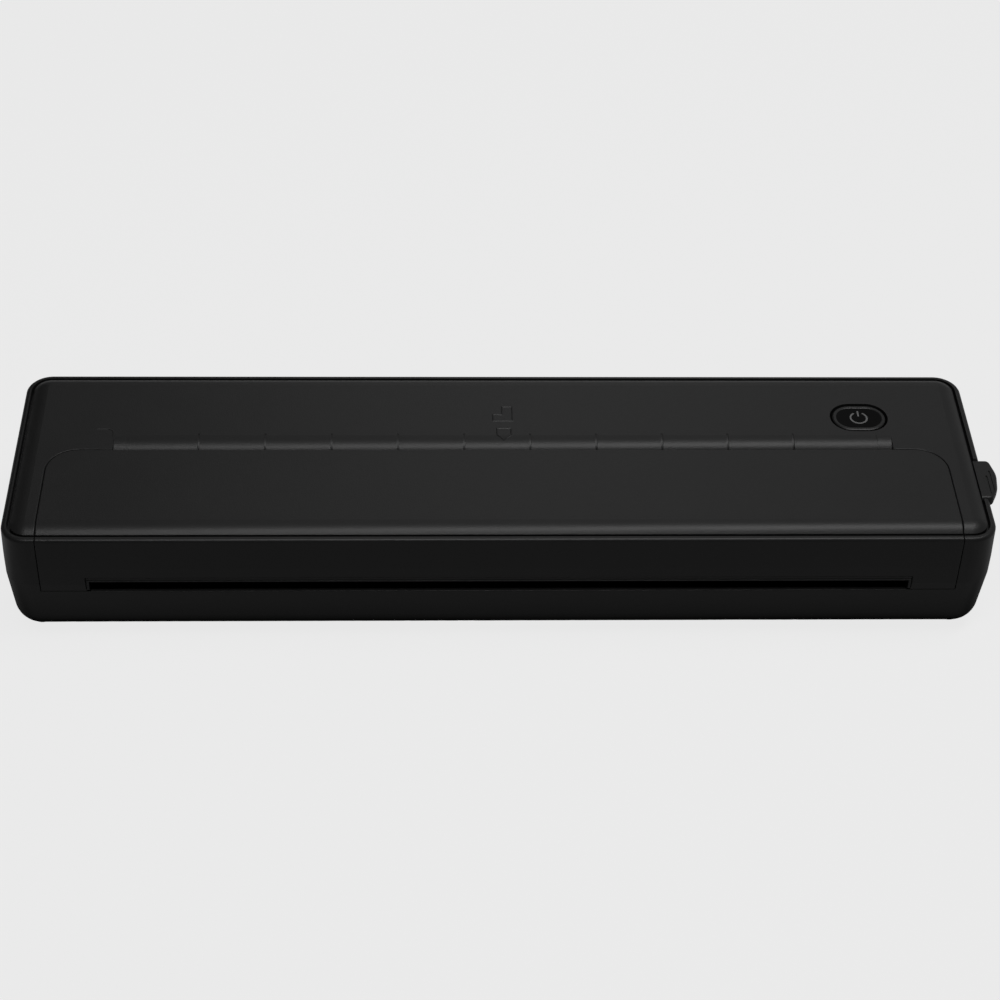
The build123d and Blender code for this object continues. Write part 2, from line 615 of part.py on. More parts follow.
# ---------------------------------------------------------------- front lid
lid_inner_x = LID_HALF_W - LID_CHEEK_T
wall_top_z = SEAT_Z - WALL
skin_front = CROWN_INSET + WALL
LID_SCREW_Y = from_front(LID_SCREW_DEPTH)
lid_screw_places = both(LID_SCREW_XS[0], LID_SCREW_Y) + both(LID_SCREW_XS[1], LID_SCREW_Y)

with BuildPart() as front_lid:
    add(outer)
    add(rim_pocket.part, mode=Mode.SUBTRACT)
    add(below_parting, mode=Mode.SUBTRACT)
    add(crown)
    add(lid_form, mode=Mode.INTERSECT)
    hollow_x = (-lid_inner_x, lid_inner_x)
    add(x_box(hollow_x, (from_front(LID_FRONT_T), FAR), (0, wall_top_z)), mode=Mode.SUBTRACT)
    add(x_box(hollow_x, (from_front(skin_front), FAR), (0, SKIN_Z)), mode=Mode.SUBTRACT)
    add(x_box((-FAR, FAR), (from_front(STRIKER_LEG[1]), FAR), (0, SEAT_Z)), mode=Mode.SUBTRACT)
    leg_low_z = STRIKER_Z - STRIKER_LEG_DROP
    add(x_box((-FAR, FAR), (from_front(STRIKER_LEG[0]), FAR), (0, leg_low_z)), mode=Mode.SUBTRACT)
    barrel_rear = HINGE_Y + BARREL_R
    add(x_box((-FAR, FAR), (barrel_rear, from_front(STRIKER_LEG[0])), (0, CHEEK_LOW_Z)), mode=Mode.SUBTRACT)
    add(x_box((-FAR, FAR), (-FAR, barrel_rear), (0, HINGE_Z)) - cradle, mode=Mode.SUBTRACT)
    for solid in mirrored(x_rod(BARREL_R, (SLOT_W / 2, LID_HALF_W), HINGE_Y, HINGE_Z)):
        add(solid & outer)
    add(
        x_box((-SLOT_W / 2, SLOT_W / 2), (-FAR, from_front(LID_FRONT_T)), (0, SLOT_TOP_Z)),
        mode=Mode.SUBTRACT,
    )
    slot_mouth = Plane((0, FRONT_Y - BULGE, SLOT_TOP_Z - SLOT_H), x_dir=(1, 0, 0), z_dir=(0, 1, 0))
    mouth_grow = SLOT_BEVEL + BULGE
    with BuildSketch(slot_mouth):
        Rectangle(SLOT_W + 2 * mouth_grow, 2 * SLOT_H + 2 * mouth_grow)
    extrude(amount=mouth_grow, taper=45, mode=Mode.SUBTRACT)
    pin_hole = x_rod(HINGE_PIN_R + HINGE_CLEAR, (LID_HALF_W - HINGE_PIN_L / 2, FAR), HINGE_Y, HINGE_Z)
    for solid in mirrored(pin_hole):
        add(solid, mode=Mode.SUBTRACT)
    for solid in mirrored(x_rod(STRIKER_R + FIT, (lid_inner_x, STRIKER_X[1] + FIT), STRIKER_Y, STRIKER_Z)):
        add(solid, mode=Mode.SUBTRACT)
    for x, y in lid_screw_places:
        add(z_rod(LID_BOSS_R, (BRACKET_TOP_Z, SKIN_Z), x, y))
    for x, y in lid_screw_places:
        hole = z_rod(SMALL_SCREW_R + FIT, (BRACKET_TOP_Z, SKIN_Z + LID_SCREW_BITE), x, y)
        add(hole, mode=Mode.SUBTRACT)
    fillet(seam_edges(front_lid, 0, SEAT_Z - FIT), EDGE_SOFT)
save(front_lid.part, "front_lid")

with BuildPart() as hinge_pins:
    for solid in mirrored(
        x_rod(HINGE_PIN_R, (LID_HALF_W - HINGE_PIN_L / 2 + SEAM, CHEEK_IN_X + PIN_BLOCK), HINGE_Y, HINGE_Z)
    ):
        add(solid)
save(hinge_pins.part, "hinge_pins")

with BuildPart() as latch_strikers:
    for solid in mirrored(x_rod(STRIKER_R, STRIKER_X, STRIKER_Y, STRIKER_Z)):
        add(solid)
save(latch_strikers.part, "latch_strikers")

# ---------------------------------------------------------------- roller bracket under the lid
bracket_low_z = PLATEN_Z - EAR_LOW
bracket_x = (BRACKET_HALF - BRACKET_T, BRACKET_HALF)
bush_bore = x_rod(BUSH_R + FIT, (-FAR, FAR), PLATEN_Y, PLATEN_Z)

with BuildPart() as platen_bracket:
    add(
        x_box(
            (-BRACKET_HALF, BRACKET_HALF),
            (from_front(BRACKET_FRONT), from_front(BRACKET_REAR)),
            (BRACKET_TOP_Z - BRACKET_T, BRACKET_TOP_Z),
        )
    )
    ear_y = (from_front(BRACKET_FRONT), from_front(BRACKET_REAR))
    ear = x_box(bracket_x, ear_y, (bracket_low_z, BRACKET_TOP_Z))
    for solid in mirrored(ear):
        add(solid)
    add(bush_bore, mode=Mode.SUBTRACT)
    for x, y in lid_screw_places:
        add(z_rod(SMALL_SCREW_R + FIT, (0, FAR), x, y), mode=Mode.SUBTRACT)
save(platen_bracket.part, "platen_bracket")

with BuildPart() as lid_screws:
    head_z = BRACKET_TOP_Z - BRACKET_T - SMALL_HEAD_T
    for x, y in lid_screw_places:
        add(z_rod(SMALL_HEAD_R, (head_z, BRACKET_TOP_Z - BRACKET_T), x, y))
    for x, y in lid_screw_places:
        add(z_rod(SMALL_SCREW_R, (head_z, SKIN_Z + LID_SCREW_BITE), x, y))
save(lid_screws.part, "lid_screws")

with BuildPart() as platen_bushes:
    bush = x_rod(BUSH_R, (BRACKET_HALF - BRACKET_T - BUSH_FLANGE_T, BRACKET_HALF), PLATEN_Y, PLATEN_Z)
    flange_x = (BRACKET_HALF - BRACKET_T - BUSH_FLANGE_T, BRACKET_HALF - BRACKET_T)
    flange = x_rod(BUSH_FLANGE_R, flange_x, PLATEN_Y, PLATEN_Z)
    for solid in mirrored(bush + flange):
        add(solid)
    add(x_rod(SHAFT_R + RUN_CLEAR, (-FAR, FAR), PLATEN_Y, PLATEN_Z), mode=Mode.SUBTRACT)
save(platen_bushes.part, "platen_bushes")

# ---------------------------------------------------------------- platen roller
GEAR_IN_X = GEAR_OUT_X + GEAR_T

with BuildPart() as platen_shaft:
    add(x_rod(SHAFT_R, (GEAR_OUT_X, BRACKET_HALF + SHAFT_END), PLATEN_Y, PLATEN_Z))
save(platen_shaft.part, "platen_shaft")

with BuildPart() as platen_rubber:
    add(x_rod(PLATEN_R, (-PLATEN_L / 2, PLATEN_L / 2), PLATEN_Y, PLATEN_Z))
    add(x_rod(SHAFT_R + FIT, (-FAR, FAR), PLATEN_Y, PLATEN_Z), mode=Mode.SUBTRACT)
save(platen_rubber.part, "platen_rubber")


# ---------------------------------------------------------------- gear train
def gear_points(teeth, phase_deg):
    """Outline of an involute gear about the origin; a tooth points along the phase angle."""
    pitch_r = MODULE * teeth / 2
    base_r = pitch_r * cos(radians(PRESSURE_DEG))
    root_r = pitch_r - 1.25 * MODULE
    tip_r = pitch_r + MODULE
    start_r = max(base_r, root_r)
    at_pitch = tan(radians(PRESSURE_DEG)) - radians(PRESSURE_DEG)
    half_pitch = pi / (2 * teeth) - BACKLASH / (2 * pitch_r)

    def half_angle(radius):
        roll = acos(min(1, base_r / radius))
        return half_pitch + at_pitch - (tan(roll) - roll)

    flank = [(start_r + (tip_r - start_r) * step / 4) for step in range(5)]
    side = [(root_r, half_angle(start_r))] + [(radius, half_angle(radius)) for radius in flank]
    if root_r >= base_r:
        side = side[1:]
    points = []
    for tooth in range(teeth):
        middle = radians(phase_deg) + 2 * pi * tooth / teeth
        for radius, angle in side:
            points.append((radius * cos(middle - angle), radius * sin(middle - angle)))
        for radius, angle in reversed(side):
            points.append((radius * cos(middle + angle), radius * sin(middle + angle)))
    return points


def gear(teeth, phase_deg, x_range, y, z):
    """A solid gear wheel across X."""
    with BuildPart(mode=Mode.PRIVATE) as wheel:
        with BuildSketch(Plane.YZ.offset(x_range[0])):
            with BuildLine():
                Polyline(gear_points(teeth, phase_deg), close=True)
            make_face()
        extrude(amount=x_range[1] - x_range[0])
    return Pos(0, y, z) * wheel.part


def next_phase(phase_deg, teeth, direction_deg, next_teeth):
    """Phase of the gear that meshes in the given direction."""
    pitch = 360 / teeth
    next_pitch = 360 / next_teeth
    share = ((phase_deg - direction_deg) % pitch) / pitch
    return direction_deg + 180 - share * next_pitch + next_pitch / 2


def centre_distance(teeth, next_teeth):
    return MODULE * (teeth + next_teeth) / 2


# the idler lies straight behind the roller's first movement, so that the lid lifts the gears apart
reach = hypot(PLATEN_Y - HINGE_Y, PLATEN_Z - HINGE_Z)
lift = (-(PLATEN_Z - HINGE_Z) / reach, (PLATEN_Y - HINGE_Y) / reach)
idler_way = degrees(atan2(-lift[1], -lift[0]))
IDLER_Y = PLATEN_Y - lift[0] * centre_distance(TEETH_PLATEN, TEETH_IDLER)
IDLER_Z = PLATEN_Z - lift[1] * centre_distance(TEETH_PLATEN, TEETH_IDLER)
train_way = (cos(radians(TRAIN_LEAN_DEG)), sin(radians(TRAIN_LEAN_DEG)))
COMPOUND_Y = IDLER_Y + train_way[0] * centre_distance(TEETH_IDLER, TEETH_SMALL)
COMPOUND_Z = IDLER_Z + train_way[1] * centre_distance(TEETH_IDLER, TEETH_SMALL)
MOTOR_Y = COMPOUND_Y + train_way[0] * centre_distance(TEETH_LARGE, TEETH_PINION)
MOTOR_Z = COMPOUND_Z + train_way[1] * centre_distance(TEETH_LARGE, TEETH_PINION)

platen_phase = idler_way
idler_phase = next_phase(platen_phase, TEETH_PLATEN, idler_way, TEETH_IDLER)
small_phase = next_phase(idler_phase, TEETH_IDLER, TRAIN_LEAN_DEG, TEETH_SMALL)
pinion_phase = next_phase(TRAIN_LEAN_DEG, TEETH_LARGE, TRAIN_LEAN_DEG, TEETH_PINION)

outboard = (GEAR_OUT_X, GEAR_IN_X)
LARGE_OUT_X = GEAR_IN_X + GEAR_LAYER_GAP
LARGE_IN_X = LARGE_OUT_X + LARGE_T
PLATE_OUT_X = LARGE_IN_X + GEAR_LAYER_GAP
PLATE_IN_X = PLATE_OUT_X + MOTOR_PLATE_T

with BuildPart() as platen_gear:
    add(gear(TEETH_PLATEN, platen_phase, outboard, PLATEN_Y, PLATEN_Z))
    add(x_rod(SHAFT_R + FIT, outboard, PLATEN_Y, PLATEN_Z), mode=Mode.SUBTRACT)
save(platen_gear.part, "platen_gear")

with BuildPart() as idler_gear:
    add(gear(TEETH_IDLER, idler_phase, outboard, IDLER_Y, IDLER_Z))
    add(x_rod(STUD_R + RUN_CLEAR, outboard, IDLER_Y, IDLER_Z), mode=Mode.SUBTRACT)
save(idler_gear.part, "idler_gear")

with BuildPart() as reduction_gear:
    add(gear(TEETH_SMALL, small_phase, (GEAR_OUT_X, LARGE_OUT_X), COMPOUND_Y, COMPOUND_Z))
    add(gear(TEETH_LARGE, TRAIN_LEAN_DEG, (LARGE_OUT_X, LARGE_IN_X), COMPOUND_Y, COMPOUND_Z))
    add(x_rod(STUD_R + RUN_CLEAR, (GEAR_OUT_X, LARGE_IN_X), COMPOUND_Y, COMPOUND_Z), mode=Mode.SUBTRACT)
save(reduction_gear.part, "reduction_gear")

PINION_X = (LARGE_OUT_X - GEAR_LAYER_GAP, LARGE_IN_X + GEAR_LAYER_GAP / 2)
ROTOR_END_X = PLATE_IN_X + MOTOR_L - ROTOR_SHORT

with BuildPart() as motor_pinion:
    add(gear(TEETH_PINION, pinion_phase, PINION_X, MOTOR_Y, MOTOR_Z))
    add(x_rod(MOTOR_SHAFT_R + FIT, PINION_X, MOTOR_Y, MOTOR_Z), mode=Mode.SUBTRACT)
save(motor_pinion.part, "motor_pinion")

with BuildPart() as motor_shaft:
    add(x_rod(MOTOR_SHAFT_R, (PINION_X[0], ROTOR_END_X), MOTOR_Y, MOTOR_Z))
save(motor_shaft.part, "motor_shaft")

with BuildPart() as stepper_motor:
    add(x_rod(MOTOR_R, (PLATE_IN_X, PLATE_IN_X + MOTOR_L), MOTOR_Y, MOTOR_Z))
    rotor_bore_x = (PLATE_IN_X, ROTOR_END_X + FIT)
    add(x_rod(MOTOR_SHAFT_R + RUN_CLEAR, rotor_bore_x, MOTOR_Y, MOTOR_Z), mode=Mode.SUBTRACT)
    terminal = x_box(
        (PLATE_IN_X + TERMINAL_ENDS[0], PLATE_IN_X + MOTOR_L - TERMINAL_ENDS[1]),
        (MOTOR_Y - TERMINAL_HALF, MOTOR_Y + TERMINAL_HALF),
        (MOTOR_Z - MOTOR_R - TERMINAL_OUT, MOTOR_Z),
    )
    add(terminal - x_rod(MOTOR_R / 2, (-FAR, FAR), MOTOR_Y, MOTOR_Z))
save(stepper_motor.part, "stepper_motor")

stud_places = [(IDLER_Y, IDLER_Z), (COMPOUND_Y, COMPOUND_Z)]

with BuildPart() as motor_bracket:
    outline = [
        (PLATE_DEPTHS[0], FLANGE_Z),
        (PLATE_DEPTHS[1], FLANGE_Z),
        (PLATE_DEPTHS[1], PLATE_TOP_Z),
        (PLATE_STEP[1], PLATE_TOP_Z),
        (PLATE_STEP[0], PLATE_STEP_Z),
        (PLATE_DEPTHS[0], PLATE_STEP_Z),
    ]
    add(x_plate(outline, (PLATE_OUT_X, PLATE_IN_X)))
    flange_y = (from_front(FLANGE_DEPTHS[0]), from_front(FLANGE_DEPTHS[1]))
    add(x_box((PLATE_OUT_X, FLANGE_IN_X), flange_y, (FLANGE_Z, FLANGE_Z + MOTOR_PLATE_T)))
    add(x_rod(PLATE_BORE_R, (-FAR, FAR), MOTOR_Y, MOTOR_Z), mode=Mode.SUBTRACT)
    for y, z in stud_places:
        add(x_rod(STUD_R + FIT, (-FAR, FAR), y, z), mode=Mode.SUBTRACT)
    for x, y in FLANGE_SCREWS:
        add(z_rod(SMALL_SCREW_R + FIT, (0, FAR), x, y), mode=Mode.SUBTRACT)
save(motor_bracket.part, "motor_bracket")

with BuildPart() as gear_studs:
    for y, z in stud_places:
        clip_x = (GEAR_OUT_X - RUN_CLEAR - CLIP_T, GEAR_OUT_X - RUN_CLEAR)
        add(x_rod(STUD_R, (clip_x[1], PLATE_IN_X), y, z))
        add(x_rod(CLIP_R, clip_x, y, z))
save(gear_studs.part, "gear_studs")

with BuildPart() as bracket_screws:
    for x, y in FLANGE_SCREWS:
        top_z = FLANGE_Z + MOTOR_PLATE_T
        add(z_rod(SMALL_HEAD_R, (top_z, top_z + SMALL_HEAD_T), x, y))
        add(z_rod(SMALL_SCREW_R, (FLANGE_Z - FLANGE_HOLE + HOLE_SPARE, top_z), x, y))
    for x in HEAD_POST_XS:
        top_z = HEAD_FRAME_Z + HEAD_FRAME_T
        add(z_rod(SMALL_HEAD_R, (top_z, top_z + SMALL_HEAD_T), x, HEAD_POST_Y))
        add(z_rod(SMALL_SCREW_R, (HEAD_FRAME_Z - HEAD_POST_HOLE + HOLE_SPARE, top_z), x, HEAD_POST_Y))
save(bracket_screws.part, "bracket_screws")

# ---------------------------------------------------------------- print head
HEAD_TOP_Z = PLATEN_Z - PLATEN_R - NIP_GAP
SINK_TOP_Z = HEAD_TOP_Z - HEAD_T
SINK_LOW_Z = SINK_TOP_Z - SINK_T
PIVOT_Y = from_front(HEAD_PIVOT)
PIVOT_Z = SINK_TOP_Z - SINK_T / 2
head_x = (-HEAD_L / 2, HEAD_L / 2)
ear_out_x = HEAD_L / 2 + HEAD_FRAME_GAP + HEAD_FRAME_T

with BuildPart() as head_heatsink:
    add(x_box(head_x, (from_front(HEAD_FRONT), PIVOT_Y), (SINK_LOW_Z, SINK_TOP_Z)))
    add(x_rod(SINK_T / 2, head_x, PIVOT_Y, PIVOT_Z))
    add(x_rod(SINK_T / 2, (-ear_out_x, ear_out_x), PIVOT_Y, PIVOT_Z))
save(head_heatsink.part, "head_heatsink")

with BuildPart() as print_head:
    head_y = (from_front(HEAD_FRONT), from_front(HEAD_FRONT + HEAD_DEPTH))
    add(x_box(head_x, head_y, (SINK_TOP_Z, HEAD_TOP_Z)))
save(print_head.part, "print_head")

with BuildPart() as driver_cover:
    cover_y = (from_front(HEAD_FRONT + HEAD_DEPTH), from_front(HEAD_PIVOT - COVER_REAR))
    add(x_box(head_x, cover_y, (SINK_TOP_Z, HEAD_TOP_Z + HEAD_T)))
    fillet(driver_cover.faces().sort_by(Axis.Z)[-1].edges().filter_by(Axis.X), HEAD_T / 2)
save(driver_cover.part, "driver_cover")

with BuildPart() as head_frame:
    frame_y = (from_front(HEAD_FRAME_DEPTHS[0]), from_front(HEAD_FRAME_DEPTHS[1]))
    add(x_box((-ear_out_x, ear_out_x), frame_y, (HEAD_FRAME_Z, HEAD_FRAME_Z + HEAD_FRAME_T)))
    ear = x_box(
        (ear_out_x - HEAD_FRAME_T, ear_out_x),
        (PIVOT_Y - HEAD_EAR_FRONT, frame_y[1]),
        (HEAD_FRAME_Z, PIVOT_Z + HEAD_EAR_TOP),
    )
    for solid in mirrored(ear):
        add(solid)
    add(x_rod(SINK_T / 2 + RUN_CLEAR, (-FAR, FAR), PIVOT_Y, PIVOT_Z), mode=Mode.SUBTRACT)
    for x in HEAD_POST_XS:
        add(z_rod(SMALL_SCREW_R + FIT, (0, FAR), x, HEAD_POST_Y), mode=Mode.SUBTRACT)
save(head_frame.part, "head_frame")

spring_low_z = HEAD_FRAME_Z + HEAD_FRAME_T
spring_h = SINK_LOW_Z - spring_low_z
spring_pitch = (spring_h - 2 * SPRING_WIRE) / SPRING_TURNS

with BuildPart() as head_springs:
    for x in SPRING_XS:
        start = (x, SPRING_Y, spring_low_z + SPRING_WIRE)
        with BuildLine():
            coil = Helix(spring_pitch, spring_h - 2 * SPRING_WIRE, SPRING_R, center=start)
        with BuildSketch(Plane(coil @ 0, z_dir=coil % 0)):
            Circle(SPRING_WIRE / 2)
        sweep(path=coil, is_frenet=True)
save(head_springs.part, "head_springs")

# ---------------------------------------------------------------- paper guide and sensor
guide_foot = (GUIDE_FOOT, HEAD_TOP_Z + GUIDE_FOOT_RISE)

with BuildPart() as rear_paper_guide:
    outline = [
        (CHUTE_FOOT, SEAT_Z),
        (CHUTE_FOOT + GUIDE_LIP, SEAT_Z),
        (CHUTE_FOOT + GUIDE_LIP, SEAT_Z - GUIDE_T),
        (CHUTE_FOOT + GUIDE_T, SEAT_Z - GUIDE_T),
        (guide_foot[0] + GUIDE_T, guide_foot[1]),
        guide_foot,
    ]
    add(x_plate(outline, (-PLATEN_L / 2, PLATEN_L / 2)))
save(rear_paper_guide.part, "rear_paper_guide")

with BuildPart() as paper_sensor:
    sensor_y = (from_front(SENSOR_DEPTHS[0]), from_front(SENSOR_DEPTHS[1]))
    add(x_box(SENSOR_X, sensor_y, SENSOR_Z))
save(paper_sensor.part, "paper_sensor")

# ---------------------------------------------------------------- latch
HOOK_OUT_X = HOOK_IN_X + HOOK_T
latch_right_x = TAB_ARM_X[1] - SEAM

with BuildPart() as latch_shaft:
    add(x_rod(LATCH_R, (-HOOK_OUT_X, latch_right_x), LATCH_Y, LATCH_Z))
save(latch_shaft.part, "latch_shaft")

striker_depth = STRIKER_Y - FRONT_Y
nose_z = STRIKER_Z + STRIKER_R + HOOK_GAP
bar_front = striker_depth - STRIKER_R - 4 * HOOK_GAP
pocket_rear = striker_depth + STRIKER_R + HOOK_ROOM
pocket_low_z = STRIKER_Z - STRIKER_R - HOOK_ROOM
latch_depth = LATCH_Y - FRONT_Y
hook_outline = [
    (bar_front - HOOK_BAR, pocket_low_z - HOOK_BAR),
    (pocket_rear + HOOK_BAR, pocket_low_z - HOOK_BAR),
    (latch_depth + HOOK_BAR, LATCH_Z - HOOK_BAR),
    (latch_depth - HOOK_BAR, LATCH_Z + HOOK_BAR),
    (pocket_rear, nose_z),
    (pocket_rear, pocket_low_z),
    (bar_front, pocket_low_z),
    (bar_front, nose_z),
    (striker_depth - STRIKER_R + NOSE_LAP, nose_z),
    (striker_depth - STRIKER_R + NOSE_LAP, nose_z + NOSE_T),
    (bar_front - HOOK_BAR, nose_z + NOSE_T),
]

with BuildPart() as latch_hooks:
    hook = x_plate(hook_outline, (HOOK_IN_X, HOOK_OUT_X))
    ring = x_rod(HOOK_RING_R, (HOOK_IN_X, HOOK_OUT_X), LATCH_Y, LATCH_Z)
    bore = x_rod(LATCH_R + FIT, (HOOK_IN_X, HOOK_OUT_X), LATCH_Y, LATCH_Z)
    for solid in mirrored(hook + ring - bore):
        add(solid)
save(latch_hooks.part, "latch_hooks")

wall_x = BODY_W / 2

with BuildPart() as release_tab:
    with BuildSketch(Plane.XY.offset(TAB_LOW_Z)) as tab_outline:
        with BuildLine():
            corners = [(wall_x + out, from_front(depth)) for out, depth, round_r in TAB_CORNERS]
            Polyline(
                (TAB_IN_X, from_front(TAB_REAR)),
                *corners,
                (TAB_IN_X, from_front(TAB_FRONT)),
                close=True,
            )
        make_face()
        for (x, y), (out, depth, round_r) in zip(corners, TAB_CORNERS):
            fillet(tab_outline.vertices().sort_by_distance((x, y, TAB_LOW_Z))[0], round_r)
    extrude(amount=TAB_T)
    level_edges = release_tab.faces().filter_by(Axis.Z).edges()
    fillet([edge for edge in level_edges if (edge @ 0.5).X > TAB_IN_X + FIT], TAB_ROUND)
    for out, front, rear in TAB_GROOVES:
        groove_x = (wall_x + out - TAB_GROOVE_W / 2, wall_x + out + TAB_GROOVE_W / 2)
        groove_y = (from_front(front), from_front(rear))
        add(x_box(groove_x, groove_y, (RIM_Z - TAB_GROOVE_DEPTH, FAR)), mode=Mode.SUBTRACT)
    add(x_rod(TAB_REAR_R, (TAB_IN_X - WALL, FAR), LATCH_Y, LATCH_Z), mode=Mode.SUBTRACT)
    web_y = (from_front(TAB_WEB[0]), from_front(TAB_WEB[1]))
    arm_z = (LATCH_Z - TAB_ARM_T / 2, LATCH_Z + TAB_ARM_T / 2 - TAB_ARM_LOW)
    add(x_box((TAB_IN_X, wall_x), web_y, (arm_z[0], TAB_LOW_Z + FIT)))
    add(x_box((TAB_ARM_X[0], wall_x), web_y, arm_z))
    add(x_box(TAB_ARM_X, (from_front(TAB_WEB[0]), LATCH_Y), arm_z))
    add(x_rod(HOOK_RING_R, TAB_ARM_X, LATCH_Y, LATCH_Z))
    add(x_rod(LATCH_R + FIT, TAB_ARM_X, LATCH_Y, LATCH_Z), mode=Mode.SUBTRACT)
save(release_tab.part, "release_tab")

with BuildPart() as latch_spring:
    spring_start = (LATCH_SPRING_X[0], LATCH_Y, LATCH_Z)
    spring_l = LATCH_SPRING_X[1] - LATCH_SPRING_X[0]
    with BuildLine():
        coil = Helix(2 * SPRING_WIRE, spring_l, LATCH_SPRING_R, center=spring_start, direction=(1, 0, 0))
    with BuildSketch(Plane(coil @ 0, z_dir=coil % 0)):
        Circle(SPRING_WIRE / 2)
    sweep(path=coil, is_frenet=True)
save(latch_spring.part, "latch_spring")

# ---------------------------------------------------------------- power button
CAP_W = BUTTON_HOLE[0] - 2 * BUTTON_GAP
CAP_H = BUTTON_HOLE[1] - 2 * BUTTON_GAP
CAP_TOP_Z = TOP_Z - BUTTON_SINK
flange_top_z = SKIN_Z - FIT
flange_low_z = flange_top_z - BUTTON_FLANGE_T
SWITCH_TOP_Z = BOARD_Z + BOARD_T + SWITCH_SIZE[2]
PLUNGER_TOP_Z = SWITCH_TOP_Z + SWITCH_PLUNGER[1]
stem_low_z = PLUNGER_TOP_Z + BUTTON_TRAVEL + STEM_GAP


def power_icon_form(grow):
    """The power symbol, a broken ring and a bar, sunk into the cap's face."""
    with BuildPart(mode=Mode.PRIVATE) as symbol:
        with BuildSketch(Plane.XY.offset(CAP_TOP_Z - ICON_DEPTH)):
            with Locations((BUTTON_X, BUTTON_Y)):
                Circle(ICON_R + ICON_LINE / 2 + grow)
                Circle(ICON_R - ICON_LINE / 2 - grow, mode=Mode.SUBTRACT)
                wedge_x = ICON_R * 2 * tan(radians(ICON_GAP_DEG / 2))
                Polygon((0, 0), (wedge_x, 2 * ICON_R), (-wedge_x, 2 * ICON_R), align=None, mode=Mode.SUBTRACT)
            with Locations((BUTTON_X, BUTTON_Y + ICON_R * 0.8)):
                SlotOverall(ICON_BAR + 2 * grow, ICON_LINE + 2 * grow, rotation=90)
        extrude(amount=ICON_DEPTH)
    return symbol.part


with BuildPart() as power_button:
    add(pill(CAP_W, CAP_H, flange_low_z, CAP_TOP_Z))
    cap_face = power_button.faces().sort_by(Axis.Z)[-1]
    chamfer(cap_face.edges(), BUTTON_BEVEL[1], BUTTON_BEVEL[0], reference=cap_face)
    add(pill(BUTTON_HOLE[0] + BUTTON_FLANGE_W, BUTTON_HOLE[1] + BUTTON_FLANGE_W, flange_low_z, flange_top_z))
    add(z_rod(STEM_R, (stem_low_z, flange_low_z), BUTTON_X, BUTTON_Y))
    add(power_icon_form(0), mode=Mode.SUBTRACT)
save(power_button.part, "power_button")

power_icon = power_icon_form(-FIT / 2)
save(power_icon, "power_icon")

# ---------------------------------------------------------------- electronics
with BuildPart() as main_board:
    add(x_box(BOARD_X, (from_front(BOARD_FRONT), from_front(BOARD_REAR)), (BOARD_Z, BOARD_Z + BOARD_T)))
    tongue_x = (USB_X - USB_TONGUE / 2, USB_X + USB_TONGUE / 2)
    add(x_box(tongue_x, (from_front(BOARD_REAR), REAR_Y - BOARD_WALL_GAP), (BOARD_Z, BOARD_Z + BOARD_T)))
save(main_board.part, "main_board")

with BuildPart() as usb_socket:
    usb_y = (REAR_Y - USB_SINK - USB_L, REAR_Y - USB_SINK)
    usb_block = x_box((USB_X - USB_W / 2, USB_X + USB_W / 2), usb_y, usb_z)
    add(usb_block)
    fillet(usb_socket.edges().filter_by(Axis.Y), USB_ROUND)
    with BuildSketch(Plane.XZ.offset(-usb_y[1])):
        with Locations((USB_X, (usb_z[0] + usb_z[1]) / 2)):
            RectangleRounded(USB_W - 2 * USB_SHELL, USB_H - 2 * USB_SHELL, USB_MOUTH_ROUND)
            Rectangle(*USB_BLADE, mode=Mode.SUBTRACT)
    extrude(amount=USB_L - USB_BACK, mode=Mode.SUBTRACT)
save(usb_socket.part, "usb_socket")

with BuildPart() as tact_switch:
    switch_x = (BUTTON_X - SWITCH_SIZE[0] / 2, BUTTON_X + SWITCH_SIZE[0] / 2)
    switch_y = (BUTTON_Y - SWITCH_SIZE[1] / 2, BUTTON_Y + SWITCH_SIZE[1] / 2)
    add(x_box(switch_x, switch_y, (BOARD_Z + BOARD_T, SWITCH_TOP_Z)))
    add(z_rod(SWITCH_PLUNGER[0], (SWITCH_TOP_Z, PLUNGER_TOP_Z), BUTTON_X, BUTTON_Y))
save(tact_switch.part, "tact_switch")

CELL_Z = FLOOR_IN_Z + HOLDER_T + CELL_R
cell_spans = [(CELL_X + i * (CELL_L + CELL_GAP), CELL_X + i * (CELL_L + CELL_GAP) + CELL_L) for i in range(2)]
holder_x = (cell_spans[0][0] - CELL_GAP - HOLDER_T, cell_spans[1][1] + CELL_GAP + HOLDER_T)

with BuildPart() as battery_cells:
    for span in cell_spans:
        add(x_rod(CELL_R, span, CELL_Y, CELL_Z))
save(battery_cells.part, "battery_cells")

with BuildPart() as battery_holder:
    holder_y = (CELL_Y - CELL_R - HOLDER_T, CELL_Y + CELL_R + HOLDER_T)
    add(x_box(holder_x, holder_y, (FLOOR_IN_Z, CELL_Z + HOLDER_RISE)))
    inside_x = (holder_x[0] + HOLDER_T, holder_x[1] - HOLDER_T)
    add(x_rod(CELL_R, inside_x, CELL_Y, CELL_Z), mode=Mode.SUBTRACT)
    add(x_box(inside_x, (CELL_Y - CELL_R, CELL_Y + CELL_R), (CELL_Z, FAR)), mode=Mode.SUBTRACT)
    add(inner, mode=Mode.INTERSECT)
save(battery_holder.part, "battery_holder")

ribbon_x = (RIBBON_X - RIBBON_W / 2, RIBBON_X + RIBBON_W / 2)
with BuildPart() as ribbon_connector:
    connector_x = (ribbon_x[0] - CONNECTOR_SIDE, ribbon_x[1] + CONNECTOR_SIDE)
    connector_y = (from_front(CONNECTOR_DEPTHS[0]), from_front(CONNECTOR_DEPTHS[1]))
    add(x_box(connector_x, connector_y, (BOARD_Z - CONNECTOR_H, BOARD_Z)))
save(ribbon_connector.part, "ribbon_connector")

